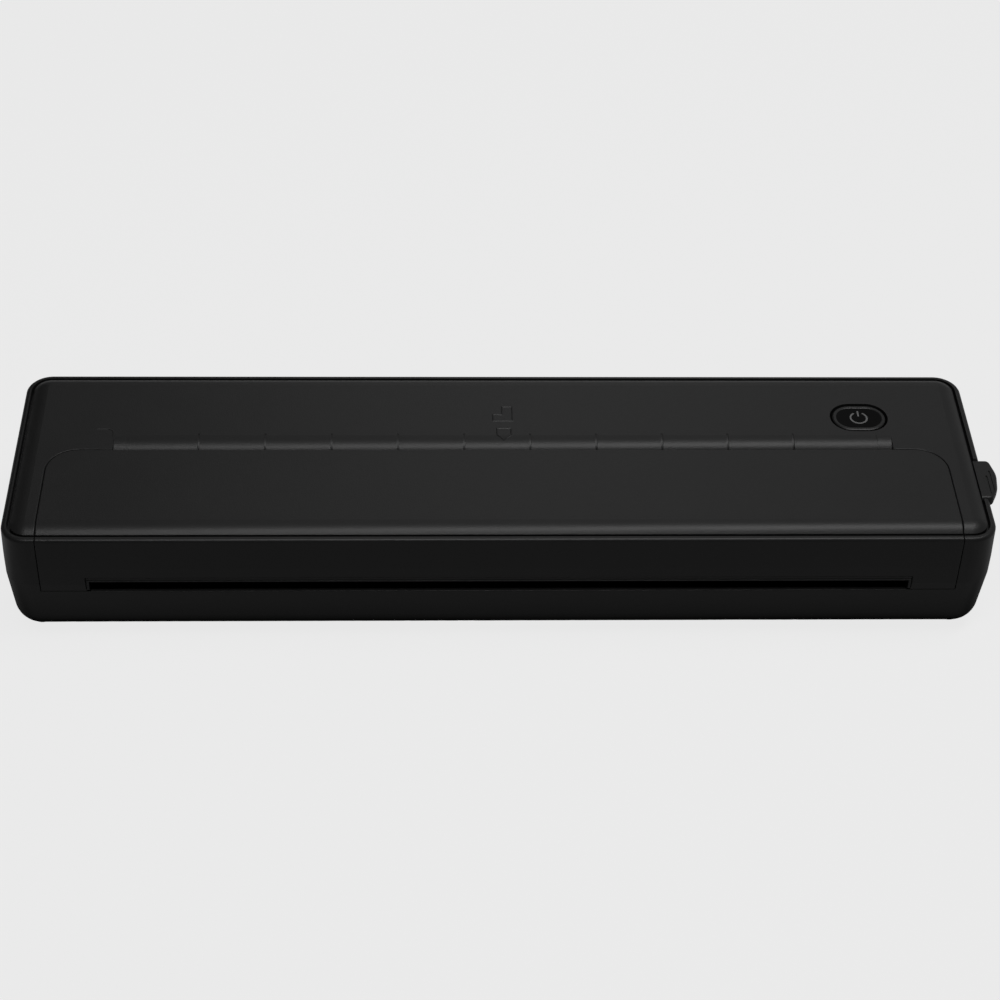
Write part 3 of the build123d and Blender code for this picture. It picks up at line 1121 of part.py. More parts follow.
with BuildPart() as head_ribbon:
    sink_rear = HEAD_PIVOT + SINK_T / 2
    with BuildSketch(Plane.YZ.offset(ribbon_x[0])):
        with BuildLine():
            FilletPolyline(
                (from_front(sink_rear + RIBBON_GAP), PIVOT_Z),
                (from_front(RIBBON_SAG[0]), RIBBON_SAG[1]),
                (from_front(RIBBON_RISE[0]), RIBBON_RISE[1]),
                (from_front(CONNECTOR_DEPTHS[0]) - RIBBON_T, BOARD_Z - CONNECTOR_H / 2),
                radius=RIBBON_BEND_R,
            )
            offset(amount=RIBBON_T / 2, side=Side.BOTH)
        make_face()
    extrude(amount=RIBBON_W)
save(head_ribbon.part, "head_ribbon")

# ---------------------------------------------------------------- screws and feet
with BuildPart() as case_screws:
    for x, y in foot_places:
        add(z_rod(SCREW_HEAD_R, (screw_head_z, screw_head_z + SCREW_HEAD_T), x, y))
        add(z_rod(SCREW_R, (screw_head_z + SCREW_HEAD_T, SCREW_TIP_Z), x, y))
save(case_screws.part, "case_screws")

with BuildPart() as deck_screws:
    for x in DECK_SCREW_XS:
        low_z = SEAT_Z - LEDGE_T
        add(z_rod(SMALL_HEAD_R, (low_z - SMALL_HEAD_T, low_z), x, DECK_SCREW_Y))
        add(z_rod(SMALL_SCREW_R, (low_z, SKIN_Z - FIT), x, DECK_SCREW_Y))
save(deck_screws.part, "deck_screws")

with BuildPart() as feet:
    for x, y in foot_places:
        pad = z_rod(FOOT_R, (0, FLOOR_Z + FLOOR_ROUND / 2), x, y)
        add(pad - outer)
        add(z_rod(FOOT_STUB_R, (FLOOR_Z / 2, FLOOR_Z + FOOT_STUB_H), x, y))
save(feet.part, "feet")
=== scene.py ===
# %% [markdown]
# # A4 portable thermal printer
# A flat black printer for A4 sheets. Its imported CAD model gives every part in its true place, and this
# script dresses it: the plastics, metals and rubber get their finishes, small moulded details are added,
# and a plain studio is set up round it. All lengths are in metres, X is to the right, Y to the rear, Z up.

# %% Load the model
import json
from math import cos, radians, sin

import bmesh
import bpy
from mathutils import Matrix, Vector


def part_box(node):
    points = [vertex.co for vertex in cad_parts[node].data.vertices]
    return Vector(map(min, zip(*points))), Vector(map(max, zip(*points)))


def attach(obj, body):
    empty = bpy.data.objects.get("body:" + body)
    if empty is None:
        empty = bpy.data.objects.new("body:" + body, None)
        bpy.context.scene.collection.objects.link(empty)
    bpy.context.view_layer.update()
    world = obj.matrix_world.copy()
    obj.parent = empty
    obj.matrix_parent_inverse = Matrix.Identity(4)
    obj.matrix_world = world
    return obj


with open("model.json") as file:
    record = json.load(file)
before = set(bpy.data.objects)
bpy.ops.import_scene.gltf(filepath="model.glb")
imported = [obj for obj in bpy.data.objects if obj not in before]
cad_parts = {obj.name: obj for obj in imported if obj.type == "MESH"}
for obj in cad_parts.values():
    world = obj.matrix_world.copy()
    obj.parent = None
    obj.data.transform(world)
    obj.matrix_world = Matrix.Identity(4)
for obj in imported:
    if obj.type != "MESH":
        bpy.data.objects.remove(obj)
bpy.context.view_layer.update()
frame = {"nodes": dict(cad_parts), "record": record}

MM = 0.001

# %% [markdown]
# ## Camera
# The printer is seen from the front and above with a long lens, turned and rolled by a few degrees.
# A camera looks along its own minus Z, so its three axes are worked out from the pitch, yaw and roll,
# and put into its matrix as columns.

# %% Camera
PITCH = radians(41.683)
YAW = radians(2.684)
ROLL = radians(1.728)
LENS = 84.92
EYE = Vector((-0.02435, -0.4957, 0.4616))

look = Vector((sin(YAW) * cos(PITCH), cos(YAW) * cos(PITCH), -sin(PITCH)))
level_right = Vector((cos(YAW), -sin(YAW), 0))
level_up = level_right.cross(look)
right = level_right * cos(ROLL) + level_up * sin(ROLL)
up = level_up * cos(ROLL) - level_right * sin(ROLL)

lens = bpy.data.cameras.new("camera")
lens.lens = LENS
lens.sensor_width = 36
lens.sensor_fit = "HORIZONTAL"
lens.clip_start = 0.02
lens.clip_end = 20
camera = bpy.data.objects.new("camera", lens)
camera.matrix_world = Matrix.Translation(EYE) @ Matrix((right, up, -look)).transposed().to_4x4()
bpy.context.scene.collection.objects.link(camera)
bpy.context.scene.camera = camera
print("camera", [round(v, 4) for v in EYE])

# %% [markdown]
# ## A helper for shader nodes
# The world, the floor and every finish are trees of nodes. One short function adds a node, sets it up and
# plugs sockets or plain values into its inputs, so each line of the tree reads as one step.

# %% A helper that adds a node to a tree
def add_node(tree, kind, feeds=None, **settings):
    """A node with its settings; feeds puts a socket or a value into each named or numbered input."""
    node = tree.nodes.new("ShaderNode" + kind)
    for key, value in settings.items():
        setattr(node, key, value)
    for key, value in (feeds or {}).items():
        if isinstance(value, bpy.types.NodeSocket):
            tree.links.new(value, node.inputs[key])
        else:
            node.inputs[key].default_value = value
    return node


# %% [markdown]
# ## Lamp
# One long soft lamp hangs over the printer, a little in front of it and to the right, so the rounded front
# edges mirror it. It is an area lamp, which gives the soft edge that a point lamp can't.

# %% Lamp
LAMP_PLACE = Vector((0.14, -0.18, 1.08))
LAMP_AIM = Vector((0.0, 0.0, 0.03))
LAMP_SIZE = (1.20, 0.26)
LAMP_WATTS = 9.4

light = bpy.data.lights.new("lamp_over", "AREA")
light.shape = "RECTANGLE"
light.size = LAMP_SIZE[0]
light.size_y = LAMP_SIZE[1]
light.energy = LAMP_WATTS
lamp = bpy.data.objects.new("lamp_over", light)
lamp.location = LAMP_PLACE
lamp.rotation_euler = (LAMP_AIM - LAMP_PLACE).to_track_quat("-Z", "Y").to_euler()
bpy.context.scene.collection.objects.link(lamp)
print("lamp", LAMP_PLACE[:], LAMP_WATTS, "watts")

# %% [markdown]
# ## World
# Black plastic shows every bit of stray light, so the world throws little light on the printer. Light Path
# tells the kinds of ray apart, and the camera still sees a pale background. In reflections the world is
# brightest straight behind the printer, and darker to the left and to the front: one ramp goes across, one
# goes from front to rear, and their product is the brightness.

# %% World
WORLD_FILL = 0.03
WORLD_ACROSS = [(-0.32, 0.02), (-0.08, 0.30), (0.0, 1.26), (0.10, 1.14), (0.20, 0.42), (0.40, 0.36)]
WORLD_BACK = [(-0.50, 0.12), (-0.10, 1.0), (0.86, 1.0), (0.97, 0.30)]


def seen_rays(tree):
    """1 for rays from the camera and for rays in reflections and through glass, 0 for the others."""
    path = add_node(tree, "LightPath").outputs
    first = add_node(tree, "Math", {0: path["Is Camera Ray"], 1: path["Is Glossy Ray"]},
                     operation="MAXIMUM")
    second = add_node(tree, "Math", {0: first.outputs[0], 1: path["Is Transmission Ray"]},
                      operation="MAXIMUM")
    return second.outputs[0]


def world_ramp(tree, value, stops):
    """A brightness for a direction's range from -1 to 1, with straight lines between the stops."""
    place = add_node(tree, "MapRange", {"Value": value, "From Min": -1})
    ramp = add_node(tree, "ValToRGB", {"Fac": place.outputs["Result"]})
    points = ramp.color_ramp.elements
    points.remove(points[1])
    points[0].position = (stops[0][0] + 1) / 2
    points[0].color = (*[stops[0][1]] * 3, 1)
    for direction, brightness in stops[1:]:
        points.new((direction + 1) / 2).color = (brightness, brightness, brightness, 1)
    return ramp.outputs["Color"]


world = bpy.data.worlds.new("studio")
bpy.context.scene.world = world
world.use_nodes = True
tree = world.node_tree
towards = add_node(tree, "SeparateXYZ", {0: add_node(tree, "TexCoord").outputs["Generated"]}).outputs
both = add_node(tree, "Math", {0: world_ramp(tree, towards["X"], WORLD_ACROSS),
                               1: world_ramp(tree, towards["Y"], WORLD_BACK)}, operation="MULTIPLY")
in_view = add_node(tree, "Math", {0: add_node(tree, "LightPath").outputs["Is Camera Ray"],
                                  1: both.outputs[0]}, operation="MAXIMUM")
strength = add_node(tree, "MapRange", {"Value": seen_rays(tree), "To Min": WORLD_FILL,
                                       "To Max": in_view.outputs[0]})
background = tree.nodes["Background"]
background.inputs["Color"].default_value = (1, 1, 1, 1)
tree.links.new(strength.outputs["Result"], background.inputs["Strength"])
print("world", WORLD_FILL, WORLD_ACROSS, WORLD_BACK)

# %% [markdown]
# ## Floor
# The floor looks pale to the camera and in reflections, but throws little light back up. Its glow in
# reflections fades out under the printer, where a real floor lies in shadow. The distance from the middle
# is measured across and in depth, with the long way squeezed to the printer's proportions.

# %% Floor
FLOOR_SEEN = 0.79
FLOOR_MIRRORED = 0.37
FLOOR_COLOUR = (0.05, 0.05, 0.05, 1)
FLOOR_HALF = 4.0
FLOOR_DROP = 0.00005
SHADE_SQUEEZE = 0.26
SHADE_ENDS = (0.034, 0.046)

floor_mesh = bpy.data.meshes.new("floor")
shape = bmesh.new()
bmesh.ops.create_grid(shape, x_segments=1, y_segments=1, size=FLOOR_HALF)
shape.to_mesh(floor_mesh)
shape.free()
floor = bpy.data.objects.new("floor", floor_mesh)
floor.location.z = -FLOOR_DROP
bpy.context.scene.collection.objects.link(floor)

paper = bpy.data.materials.new("floor_pale")
paper.use_nodes = True
tree = paper.node_tree
shader = tree.nodes["Principled BSDF"]
shader.inputs["Base Color"].default_value = FLOOR_COLOUR
shader.inputs["Roughness"].default_value = 1.0
shader.inputs["Specular IOR Level"].default_value = 0.0
shader.inputs["Emission Color"].default_value = (1, 1, 1, 1)
place = add_node(tree, "SeparateXYZ", {0: add_node(tree, "TexCoord").outputs["Object"]}).outputs
across = add_node(tree, "Math", {0: place["X"]}, operation="ABSOLUTE")
squeezed = add_node(tree, "Math", {0: across.outputs[0], 1: SHADE_SQUEEZE}, operation="MULTIPLY")
deep = add_node(tree, "Math", {0: place["Y"]}, operation="ABSOLUTE")
away = add_node(tree, "Math", {0: squeezed.outputs[0], 1: deep.outputs[0]}, operation="MAXIMUM")
outside = add_node(tree, "MapRange", {"Value": away.outputs[0], "From Min": SHADE_ENDS[0],
                                      "From Max": SHADE_ENDS[1], "To Max": FLOOR_MIRRORED})
path = add_node(tree, "LightPath").outputs
mirrored = add_node(tree, "Math", {0: path["Is Glossy Ray"], 1: outside.outputs["Result"]},
                    operation="MULTIPLY")
glow = add_node(tree, "Math", {0: path["Is Camera Ray"], 1: FLOOR_SEEN, 2: mirrored.outputs[0]},
                operation="MULTIPLY_ADD")
tree.links.new(glow.outputs[0], shader.inputs["Emission Strength"])
floor.data.materials.append(paper)
print("floor", floor.dimensions[:])

bpy.context.scene.view_settings.view_transform = "Standard"

# %% [markdown]
# ## Shader groups
# Several finishes share an effect, so each effect is a node group that is built once, with its own inputs.
# The groups read Object coordinates, so a pattern stays on its part when the part moves.

# %% A helper that makes a group with its sockets
def new_group(name, inputs, outputs):
    """A shader node group; inputs are (name, kind, default), outputs are (name, kind)."""
    group = bpy.data.node_groups.new(name, "ShaderNodeTree")
    for label, kind, value in inputs:
        socket = group.interface.new_socket(name=label, in_out="INPUT", socket_type="NodeSocket" + kind)
        socket.default_value = value
    for label, kind in outputs:
        group.interface.new_socket(name=label, in_out="OUTPUT", socket_type="NodeSocket" + kind)
    start = group.nodes.new("NodeGroupInput")
    end = group.nodes.new("NodeGroupOutput")
    return group, start.outputs, end.inputs


# %% [markdown]
# ### Moulded grain
# Injection-moulded plastic copies the fine spark-eroded texture of its mould. A small noise gives the
# height of that grain, and a slow noise makes the colour and the gloss wander slightly, as handling does.

# %% Moulded grain
grain, given, result = new_group(
    "moulded_grain",
    [("Colour", "Color", (0.02, 0.02, 0.02, 1)), ("Pale Colour", "Color", (0.03, 0.03, 0.03, 1)),
     ("Roughness", "Float", 0.5), ("Roughness Spread", "Float", 0.05),
     ("Grain Scale", "Float", 2600.0), ("Grain Depth", "Float", 0.00002)],
    [("Colour", "Color"), ("Roughness", "Float"), ("Normal", "Vector")])
place = add_node(grain, "TexCoord").outputs["Object"]
fine = add_node(grain, "TexNoise", {"Vector": place, "Scale": given["Grain Scale"], "Detail": 2.0,
                                    "Roughness": 0.6})
slow = add_node(grain, "TexNoise", {"Vector": place, "Scale": 38.0, "Detail": 5.0, "Roughness": 0.62})
tone = add_node(grain, "MapRange", {"Value": slow.outputs["Fac"], "From Min": 0.35, "From Max": 0.70})
speckle = add_node(grain, "MapRange", {"Value": fine.outputs["Fac"], "From Min": 0.45, "From Max": 0.75,
                                       "To Min": 0.0, "To Max": 0.35})
both_tones = add_node(grain, "Math", {0: tone.outputs["Result"], 1: speckle.outputs["Result"]},
                      operation="ADD")
tint = add_node(grain, "Mix", {"Factor": both_tones.outputs[0], "A": given["Colour"],
                               "B": given["Pale Colour"]}, data_type="RGBA")
gloss = add_node(grain, "MapRange", {"Value": slow.outputs["Fac"], "From Min": 0.3, "From Max": 0.7,
                                     "To Min": -0.5, "To Max": 0.5})
scaled = add_node(grain, "Math", {0: gloss.outputs["Result"], 1: given["Roughness Spread"],
                                  2: given["Roughness"]}, operation="MULTIPLY_ADD")
bump = add_node(grain, "Bump", {"Height": fine.outputs["Fac"], "Distance": given["Grain Depth"],
                                "Strength": 1.0})
grain.links.new(tint.outputs["Result"], result["Colour"])
grain.links.new(scaled.outputs[0], result["Roughness"])
grain.links.new(bump.outputs["Normal"], result["Normal"])
print("group", grain.name, len(grain.nodes))

# %% [markdown]
# ### Drawn metal
# Sheet, wire and turned rods carry fine lines that run along the part. A noise that is stretched along X
# gives them: it is squeezed across the lines by a Mapping node.

# %% Drawn metal
drawn, given, result = new_group(
    "drawn_metal",
    [("Colour", "Color", (0.6, 0.6, 0.6, 1)), ("Dark Colour", "Color", (0.4, 0.4, 0.4, 1)),
     ("Roughness", "Float", 0.35), ("Roughness Spread", "Float", 0.12), ("Line Depth", "Float", 0.000006)],
    [("Colour", "Color"), ("Roughness", "Float"), ("Normal", "Vector")])
place = add_node(drawn, "TexCoord").outputs["Object"]
stretched = add_node(drawn, "Mapping", {"Vector": place, "Scale": (60.0, 3500.0, 3500.0)})
lines = add_node(drawn, "TexNoise", {"Vector": stretched.outputs["Vector"], "Scale": 1.0, "Detail": 3.0})
cloud = add_node(drawn, "TexNoise", {"Vector": place, "Scale": 90.0, "Detail": 4.0})
mask = add_node(drawn, "Math", {0: lines.outputs["Fac"], 1: cloud.outputs["Fac"]}, operation="MULTIPLY")
tone = add_node(drawn, "MapRange", {"Value": mask.outputs[0], "From Min": 0.12, "From Max": 0.40})
tint = add_node(drawn, "Mix", {"Factor": tone.outputs["Result"], "A": given["Dark Colour"],
                               "B": given["Colour"]}, data_type="RGBA")
gloss = add_node(drawn, "Math", {0: lines.outputs["Fac"], 1: given["Roughness Spread"],
                                 2: given["Roughness"]}, operation="MULTIPLY_ADD")
bump = add_node(drawn, "Bump", {"Height": lines.outputs["Fac"], "Distance": given["Line Depth"]})
drawn.links.new(tint.outputs["Result"], result["Colour"])
drawn.links.new(gloss.outputs[0], result["Roughness"])
drawn.links.new(bump.outputs["Normal"], result["Normal"])
print("group", drawn.name, len(drawn.nodes))

# %% [markdown]
# ## Finishes
# The Principled shader stays in each material. What is the same all over, such as the specular level, is
# set on its own socket, and what varies comes from a group.

# %% A helper that makes a finish from a group
def new_finish(name, group, values, **sockets):
    """A material whose colour, roughness and normal come from a group."""
    material = bpy.data.materials.new(name)
    material.use_nodes = True
    tree = material.node_tree
    shader = tree.nodes["Principled BSDF"]
    for label, value in sockets.items():
        shader.inputs[label.replace("_", " ")].default_value = value
    effect = tree.nodes.new("ShaderNodeGroup")
    effect.node_tree = group
    for label, value in values.items():
        effect.inputs[label].default_value = value
    tree.links.new(effect.outputs["Colour"], shader.inputs["Base Color"])
    tree.links.new(effect.outputs["Roughness"], shader.inputs["Roughness"])
    tree.links.new(effect.outputs["Normal"], shader.inputs["Normal"])
    return material


def grey(level, warm=0.0):
    """A nearly neutral colour."""
    return (level * (1 + warm), level, level * (1 - warm), 1)


# %% [markdown]
# ### Plastics and rubber
# The case is dull black plastic with a visible grain. The button's face is polished, the feet and the
# roller are rubber, and the gears and bushes are moulded acetal.

# %% Plastics and rubber
CASE_SPECULAR = 0.16
case_black = new_finish(
    "case_black", grain,
    {"Colour": grey(0.0116), "Pale Colour": grey(0.0134), "Roughness": 0.34, "Roughness Spread": 0.03,
     "Grain Scale": 2300.0, "Grain Depth": 0.00003},
    Specular_IOR_Level=CASE_SPECULAR)
gloss_black = new_finish(
    "gloss_black", grain,
    {"Colour": grey(0.002), "Pale Colour": grey(0.003), "Roughness": 0.16, "Roughness Spread": 0.04,
     "Grain Scale": 900.0, "Grain Depth": 0.000001},
    Specular_IOR_Level=0.03)
icon_grey = new_finish(
    "icon_grey", grain,
    {"Colour": grey(0.085), "Pale Colour": grey(0.105), "Roughness": 0.5, "Roughness Spread": 0.05,
     "Grain Scale": 4000.0, "Grain Depth": 0.000005})
foot_rubber = new_finish(
    "foot_rubber", grain,
    {"Colour": grey(0.014), "Pale Colour": grey(0.024), "Roughness": 0.78, "Roughness Spread": 0.1,
     "Grain Scale": 1800.0, "Grain Depth": 0.00004},
    Specular_IOR_Level=0.3)
roller_rubber = new_finish(
    "roller_rubber", grain,
    {"Colour": grey(0.040), "Pale Colour": grey(0.055), "Roughness": 0.70, "Roughness Spread": 0.08,
     "Grain Scale": 3200.0, "Grain Depth": 0.00002},
    Specular_IOR_Level=0.35)
gear_white = new_finish(
    "gear_white", grain,
    {"Colour": grey(0.74, 0.03), "Pale Colour": grey(0.82, 0.02), "Roughness": 0.38,
     "Roughness Spread": 0.06, "Grain Scale": 1500.0, "Grain Depth": 0.000006})
bush_grey = new_finish(
    "bush_grey", grain,
    {"Colour": grey(0.20), "Pale Colour": grey(0.26), "Roughness": 0.45, "Roughness Spread": 0.06,
     "Grain Scale": 1500.0, "Grain Depth": 0.000008})
cell_wrap = new_finish(
    "cell_wrap", grain,
    {"Colour": (0.055, 0.16, 0.36, 1), "Pale Colour": (0.075, 0.20, 0.42, 1), "Roughness": 0.28,
     "Roughness Spread": 0.08, "Grain Scale": 500.0, "Grain Depth": 0.00001})
print("plastics and rubber ready")

# %% [markdown]
# ### Metals
# Brackets are zinc-plated sheet, shafts and pins are ground steel, the heat sink is milled aluminium and
# the motor's pinion is brass. All of them use the drawn lines, with other colours and gloss.

# %% Metals
zinc_steel = new_finish(
    "zinc_steel", drawn,
    {"Colour": (0.60, 0.61, 0.63, 1), "Dark Colour": (0.40, 0.41, 0.44, 1), "Roughness": 0.34,
     "Roughness Spread": 0.16, "Line Depth": 0.000004}, Metallic=1.0)
steel = new_finish(
    "steel", drawn,
    {"Colour": (0.58, 0.58, 0.59, 1), "Dark Colour": (0.44, 0.44, 0.45, 1), "Roughness": 0.20,
     "Roughness Spread": 0.12, "Line Depth": 0.000003}, Metallic=1.0)
black_steel = new_finish(
    "black_steel", drawn,
    {"Colour": grey(0.035), "Dark Colour": grey(0.02), "Roughness": 0.42, "Roughness Spread": 0.12,
     "Line Depth": 0.000003}, Metallic=0.7)
aluminium = new_finish(
    "aluminium", drawn,
    {"Colour": (0.78, 0.79, 0.80, 1), "Dark Colour": (0.62, 0.63, 0.64, 1), "Roughness": 0.30,
     "Roughness Spread": 0.18, "Line Depth": 0.000006}, Metallic=1.0)
brass = new_finish(
    "brass", drawn,
    {"Colour": (0.76, 0.56, 0.24, 1), "Dark Colour": (0.55, 0.38, 0.14, 1), "Roughness": 0.26,
     "Roughness Spread": 0.1, "Line Depth": 0.000003}, Metallic=1.0)
print("metals ready")

# %% [markdown]
# ### Printed and layered finishes
# The circuit board shows pale copper lines under green lacquer, the flat cable shows its conductors, and
# the print head's glazed strip has a thin brown heating line. Such lines repeat along one direction: the
# place is multiplied by a pitch, its fraction rises from 0 to 1 in each repeat, and a threshold cuts out
# the line.

# %% Striped finishes
LINE_GLOSSIER = 0.08
stripes, given, result = new_group(
    "printed_lines",
    [("Colour", "Color", (0, 0, 0, 1)), ("Line Colour", "Color", (1, 1, 1, 1)),
     ("Pitch", "Vector", (1, 0, 0)), ("Line Share", "Float", 0.5), ("Roughness", "Float", 0.4)],
    [("Colour", "Color"), ("Roughness", "Float"), ("Normal", "Vector")])
place = add_node(stripes, "TexCoord").outputs["Object"]
across = add_node(stripes, "VectorMath", {0: place, 1: given["Pitch"]}, operation="DOT_PRODUCT")
saw = add_node(stripes, "Math", {0: across.outputs["Value"]}, operation="FRACT")
line = add_node(stripes, "Math", {0: saw.outputs[0], 1: given["Line Share"]}, operation="LESS_THAN")
tint = add_node(stripes, "Mix", {"Factor": line.outputs[0], "A": given["Colour"],
                                 "B": given["Line Colour"]}, data_type="RGBA")
rough = add_node(stripes, "Math", {0: line.outputs[0], 1: -LINE_GLOSSIER, 2: given["Roughness"]},
                 operation="MULTIPLY_ADD")
bump = add_node(stripes, "Bump", {"Height": line.outputs[0], "Distance": 0.00002, "Strength": 0.5})
stripes.links.new(tint.outputs["Result"], result["Colour"])
stripes.links.new(rough.outputs[0], result["Roughness"])
stripes.links.new(bump.outputs["Normal"], result["Normal"])

board_green = new_finish(
    "board_green", stripes,
    {"Colour": (0.012, 0.085, 0.035, 1), "Line Colour": (0.035, 0.16, 0.06, 1),
     "Pitch": (330.0, 120.0, 0.0), "Line Share": 0.3, "Roughness": 0.34})
ribbon_white = new_finish(
    "ribbon_white", stripes,
    {"Colour": (0.66, 0.66, 0.60, 1), "Line Colour": (0.42, 0.42, 0.40, 1), "Pitch": (1000.0, 0.0, 0.0),
     "Line Share": 0.45, "Roughness": 0.4})
ceramic = new_finish(
    "ceramic", stripes,
    {"Colour": (0.74, 0.70, 0.60, 1), "Line Colour": (0.30, 0.20, 0.10, 1), "Pitch": (0.0, 117.6, 0.0),
     "Line Share": 0.07, "Roughness": 0.22})
print("striped finishes ready")

# %% [markdown]
# ### Dressing the CAD parts
# Each CAD part names a material slot in the record, so one loop gives every part its finish. The slots
# are keys of a dictionary, because the loaded parts hold plain materials that already have those names.

# %% Dress the parts
finishes = {
    "case_black": case_black, "gloss_black": gloss_black, "icon_grey": icon_grey,
    "foot_rubber": foot_rubber, "roller_rubber": roller_rubber, "zinc_steel": zinc_steel,
    "steel": steel, "black_steel": black_steel, "aluminium": aluminium, "ceramic": ceramic,
    "gear_white": gear_white, "bush_grey": bush_grey, "board_green": board_green,
    "cell_wrap": cell_wrap, "ribbon_white": ribbon_white, "brass": brass,
}
for part in frame["record"]["subparts"]:
    mesh = frame["nodes"][part["node"]].data
    mesh.materials.clear()
    mesh.materials.append(finishes[part["material_slot"]])

# %% [markdown]
# ## Moulded details
# Small raised marks, trims and frames are moulded together with the case, so they share its plastic. They
# are placed from the case itself: across from its middle, and in depth from its front edge. Each one is
# made by operators and sunk a little into the surface that carries it. The deck rolls off towards the
# inlet in an arc, which starts at a known depth, so the drop at any depth follows from the arc's radius.

# %% Places on the case
MERGE_DISTANCE = 1e-7
FRONT_Y = -35.0 * MM
ROLL_START = 41.5
ROLL_RADIUS = 6.62
deck_low, deck_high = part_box("rear_deck")
MIDDLE_X = (deck_low[0] + deck_high[0]) / 2
DECK_TOP = deck_high[2]
print("deck", MIDDLE_X, DECK_TOP)


def deck_drop(depth):
    """How far the deck has rolled off towards the inlet, in millimetres, at a depth behind the front."""
    ahead = max(0.0, ROLL_START - depth)
    return ROLL_RADIUS - (ROLL_RADIUS**2 - ahead**2) ** 0.5


# %% [markdown]
# ### Helpers for the pieces
# Every piece ends the same way: doubles are merged, faces are turned outwards, and the mesh gets its
# finish and rides on its body. The marks and the bezel are also raised in the same way, with sloping sides
# as a mould needs.

# %% Helpers that raise and finish a piece
def new_piece(name, shape, body, slot):
    """Turn a bmesh into a finished piece that rides on a body."""
    bmesh.ops.remove_doubles(shape, verts=shape.verts, dist=MERGE_DISTANCE)
    bmesh.ops.recalc_face_normals(shape, faces=shape.faces)
    mesh = bpy.data.meshes.new(name)
    shape.to_mesh(mesh)
    shape.free()
    mesh.materials.append(finishes[slot])
    piece = bpy.data.objects.new(name, mesh)
    bpy.context.scene.collection.objects.link(piece)
    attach(piece, body)
    print(name, len(mesh.polygons), "faces")


def raise_line(shape, root, slope, rise):
    """Give flat faces a height: straight sides up to the root's height, then sloping sides."""
    raised = bmesh.ops.extrude_face_region(shape, geom=shape.faces[:], use_keep_orig=True)["geom"]
    top_verts = [item for item in raised if isinstance(item, bmesh.types.BMVert)]
    top_faces = [item for item in raised if isinstance(item, bmesh.types.BMFace)]
    bmesh.ops.translate(shape, verts=top_verts, vec=(0, 0, root))
    bmesh.ops.recalc_face_normals(shape, faces=shape.faces)
    shape.normal_update()
    bmesh.ops.inset_region(shape, faces=top_faces, thickness=slope, use_even_offset=True)
    crest = list({vert for face in top_faces for vert in face.verts})
    bmesh.ops.translate(shape, verts=crest, vec=(0, 0, rise))


# %% [markdown]
# ### Raised marks on the deck
# A sheet with a folded corner and an arrow show which way the paper goes in, and a thin angle points at
# the left end of the inlet. A closed mark starts as one face, which is inset by the width of the line and
# then deleted, so a ring stays. Cuts across the depth let a mark follow the rounded edge of the deck, an
# extrusion gives it its height, and an inset that rises gives it sloping sides.

# %% Deck marks
MARK_LINE = 0.46 * MM
MARK_SLOPE = 0.19 * MM
MARK_RISE = 0.10 * MM
MARK_ROOT = 0.06 * MM
CUT_STEP = 0.5
CUTS = 9
SHEET = [(-1.6, 47.4), (4.3, 47.4), (4.3, 54.1), (1.0, 54.1), (1.0, 50.6), (-1.6, 50.6)]
ARROW = [(-0.6, 44.6), (-0.6, 41.5), (1.5, 39.3), (3.8, 41.5), (3.8, 44.6)]
ANGLE = [(-111.8, 43.9), (-108.4, 43.9), (-107.3, 43.3), (-107.0, 42.2), (-106.8, 37.2), (-106.45, 37.2),
         (-106.6, 42.3), (-107.0, 43.7), (-108.3, 44.3), (-111.8, 44.3)]


def flat_face(shape, outline):
    """One face from an outline in millimetres across the case and behind its front."""
    return shape.faces.new([shape.verts.new((across * MM, depth * MM, 0)) for across, depth in outline])


marks = bmesh.new()
for outline in (SHEET, ARROW):
    inner = flat_face(marks, outline)
    inner.normal_update()
    bmesh.ops.inset_region(marks, faces=[inner], thickness=MARK_LINE, use_boundary=True,
                           use_even_offset=True)
    bmesh.ops.delete(marks, geom=[inner], context="FACES")
flat_face(marks, ANGLE)
for step in range(CUTS):
    cut = (ROLL_START - CUT_STEP * step) * MM
    bmesh.ops.bisect_plane(marks, geom=marks.verts[:] + marks.edges[:] + marks.faces[:],
                           dist=MERGE_DISTANCE, plane_co=(0, cut, 0), plane_no=(0, 1, 0))
for vert in marks.verts:
    height = DECK_TOP - deck_drop(vert.co.y / MM) * MM - MARK_ROOT
    vert.co = Vector((MIDDLE_X + vert.co.x, FRONT_Y + vert.co.y, height))
raise_line(marks, MARK_ROOT, MARK_SLOPE, MARK_RISE)
new_piece("deck_marks", marks, "base", "case_black")

# %% [markdown]
# ### Bezel of the power button
# The cap has a satin bezel round its dark face, and moves with it. It is a pill drawn as one face, made
# into a ring by an inset and raised with sloping sides.

# %% Button bezel
BEZEL_SIZE = (14.9, 10.5)
BEZEL_W = 1.15 * MM
BEZEL_ROOT = 0.45 * MM
BEZEL_SLOPE = 0.30 * MM
BEZEL_RISE = 0.16 * MM
BEZEL_SUNK = 0.05 * MM
ROUND_STEPS = 16
cap_low, cap_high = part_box("power_button")
cap_middle = (cap_low + cap_high) / 2
end_radius = BEZEL_SIZE[1] / 2
straight = (BEZEL_SIZE[0] - BEZEL_SIZE[1]) / 2
pill = []
for side, start in ((1, -90), (-1, 90)):
    for step in range(ROUND_STEPS + 1):
        turn = radians(start + 180 * step / ROUND_STEPS)
        pill.append((side * straight + end_radius * cos(turn), end_radius * sin(turn)))
bezel = bmesh.new()
inner = bezel.faces.new([bezel.verts.new((across * MM, deep * MM, 0)) for across, deep in pill])
inner.normal_update()
bmesh.ops.inset_region(bezel, faces=[inner], thickness=BEZEL_W, use_boundary=True, use_even_offset=True)
bmesh.ops.delete(bezel, geom=[inner], context="FACES")
bezel_place = Vector((cap_middle.x, cap_middle.y, cap_high.z - BEZEL_ROOT - BEZEL_SUNK))
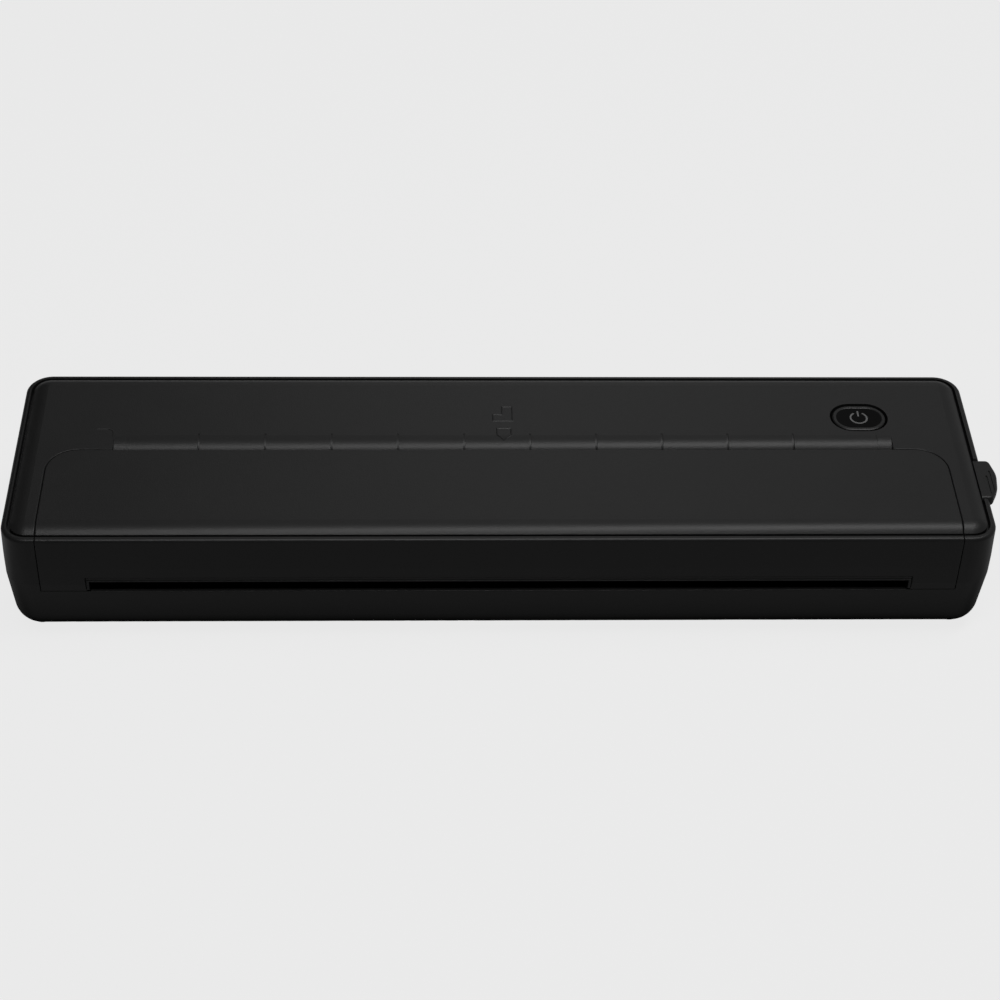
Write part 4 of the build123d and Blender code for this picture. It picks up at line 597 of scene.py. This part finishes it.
bmesh.ops.translate(bezel, verts=bezel.verts, vec=bezel_place)
raise_line(bezel, BEZEL_ROOT, BEZEL_SLOPE, BEZEL_RISE)
new_piece("button_bezel", bezel, "button", "case_black")

# %% [markdown]
# ### End blocks of the inlet
# The rounded edge that the paper slides over ends in a slightly thicker block on each side. The block's
# cross-section is spun about the axis of the rounding.

# %% Inlet end blocks
BLOCK_RISE = 0.16
BLOCK_ROOT = 0.20
BLOCK_TURN = radians(46)
BLOCK_STEPS = 10
BLOCKS = [(-106.4, -102.5), (105.9, 109.8)]
blocks = bmesh.new()
axis_point = Vector((0, FRONT_Y + ROLL_START * MM, DECK_TOP - ROLL_RADIUS * MM))
for left_end, right_end in BLOCKS:
    corners = [(left_end, -BLOCK_ROOT), (right_end, -BLOCK_ROOT),
               (right_end, BLOCK_RISE), (left_end, BLOCK_RISE)]
    section = blocks.faces.new([
        blocks.verts.new((MIDDLE_X + across * MM, axis_point.y, DECK_TOP + rise * MM))
        for across, rise in corners
    ])
    bmesh.ops.spin(blocks, geom=[section, *section.edges, *section.verts], cent=axis_point,
                   axis=(1, 0, 0), angle=BLOCK_TURN, steps=BLOCK_STEPS, use_duplicate=False)
bmesh.ops.holes_fill(blocks, edges=blocks.edges, sides=4)
new_piece("inlet_end_blocks", blocks, "base", "case_black")

# %% [markdown]
# ### Frame of the exit slot
# The slot has a narrow frame: a band closes the top of the mouth, and thin beads run along its edges. The
# upper beads and the ends belong to the lid and swing with it, and the lower bead stays on the case.

# %% Slot frame
SLOT_HALF = 110.75
SLOT_LOW = 18.4
BAND = (21.75, 23.1)
BAND_OVERLAP = 0.1
BAND_BACK = 0.16 * MM
BEAD = 0.4
LEG_W = 0.7
LEG_LOW = 0.45
LOWER_SHORTER = 0.12
LOWER_GAP = 0.15
LOWER_BACK = 0.1 * MM
WALL_Y = FRONT_Y - 0.3 * MM
PROUD = 0.02 * MM
DEEP = 1.1 * MM
EDGE_ROUND = 0.09 * MM


def front_bar(shape, across, heights, back):
    """A bar with rounded edges on the front wall, in millimetres across and up, and metres back."""
    low = Vector((MIDDLE_X + across[0] * MM, WALL_Y + back, heights[0] * MM))
    high = Vector((MIDDLE_X + across[1] * MM, WALL_Y + DEEP, heights[1] * MM))
    place = Matrix.Translation((low + high) / 2) @ Matrix.Diagonal((*(high - low), 1))
    verts = bmesh.ops.create_cube(shape, size=1.0, matrix=place)["verts"]
    edges = list({edge for vert in verts for edge in vert.link_edges})
    bmesh.ops.bevel(shape, geom=edges, offset=EDGE_ROUND, offset_type="OFFSET", affect="EDGES",
                    segments=2, profile=0.5, material=-1, clamp_overlap=True)


upper = bmesh.new()
outside = SLOT_HALF + LEG_W
front_bar(upper, (-outside, outside), BAND, BAND_BACK)
front_bar(upper, (-outside, outside), (BAND[1] - BEAD, BAND[1] + BAND_OVERLAP), -PROUD)
front_bar(upper, (-SLOT_HALF, SLOT_HALF), (BAND[0], BAND[0] + BEAD), -PROUD)
for left_end in (-outside, SLOT_HALF):
    front_bar(upper, (left_end, left_end + LEG_W), (SLOT_LOW + LEG_LOW, BAND[0] + BEAD), -PROUD)
new_piece("slot_frame_upper", upper, "lid", "case_black")

lower = bmesh.new()
inside = SLOT_HALF - LOWER_SHORTER
front_bar(lower, (-inside, inside), (SLOT_LOW - BEAD, SLOT_LOW - LOWER_GAP), LOWER_BACK)
new_piece("slot_frame_lower", lower, "base", "case_black")
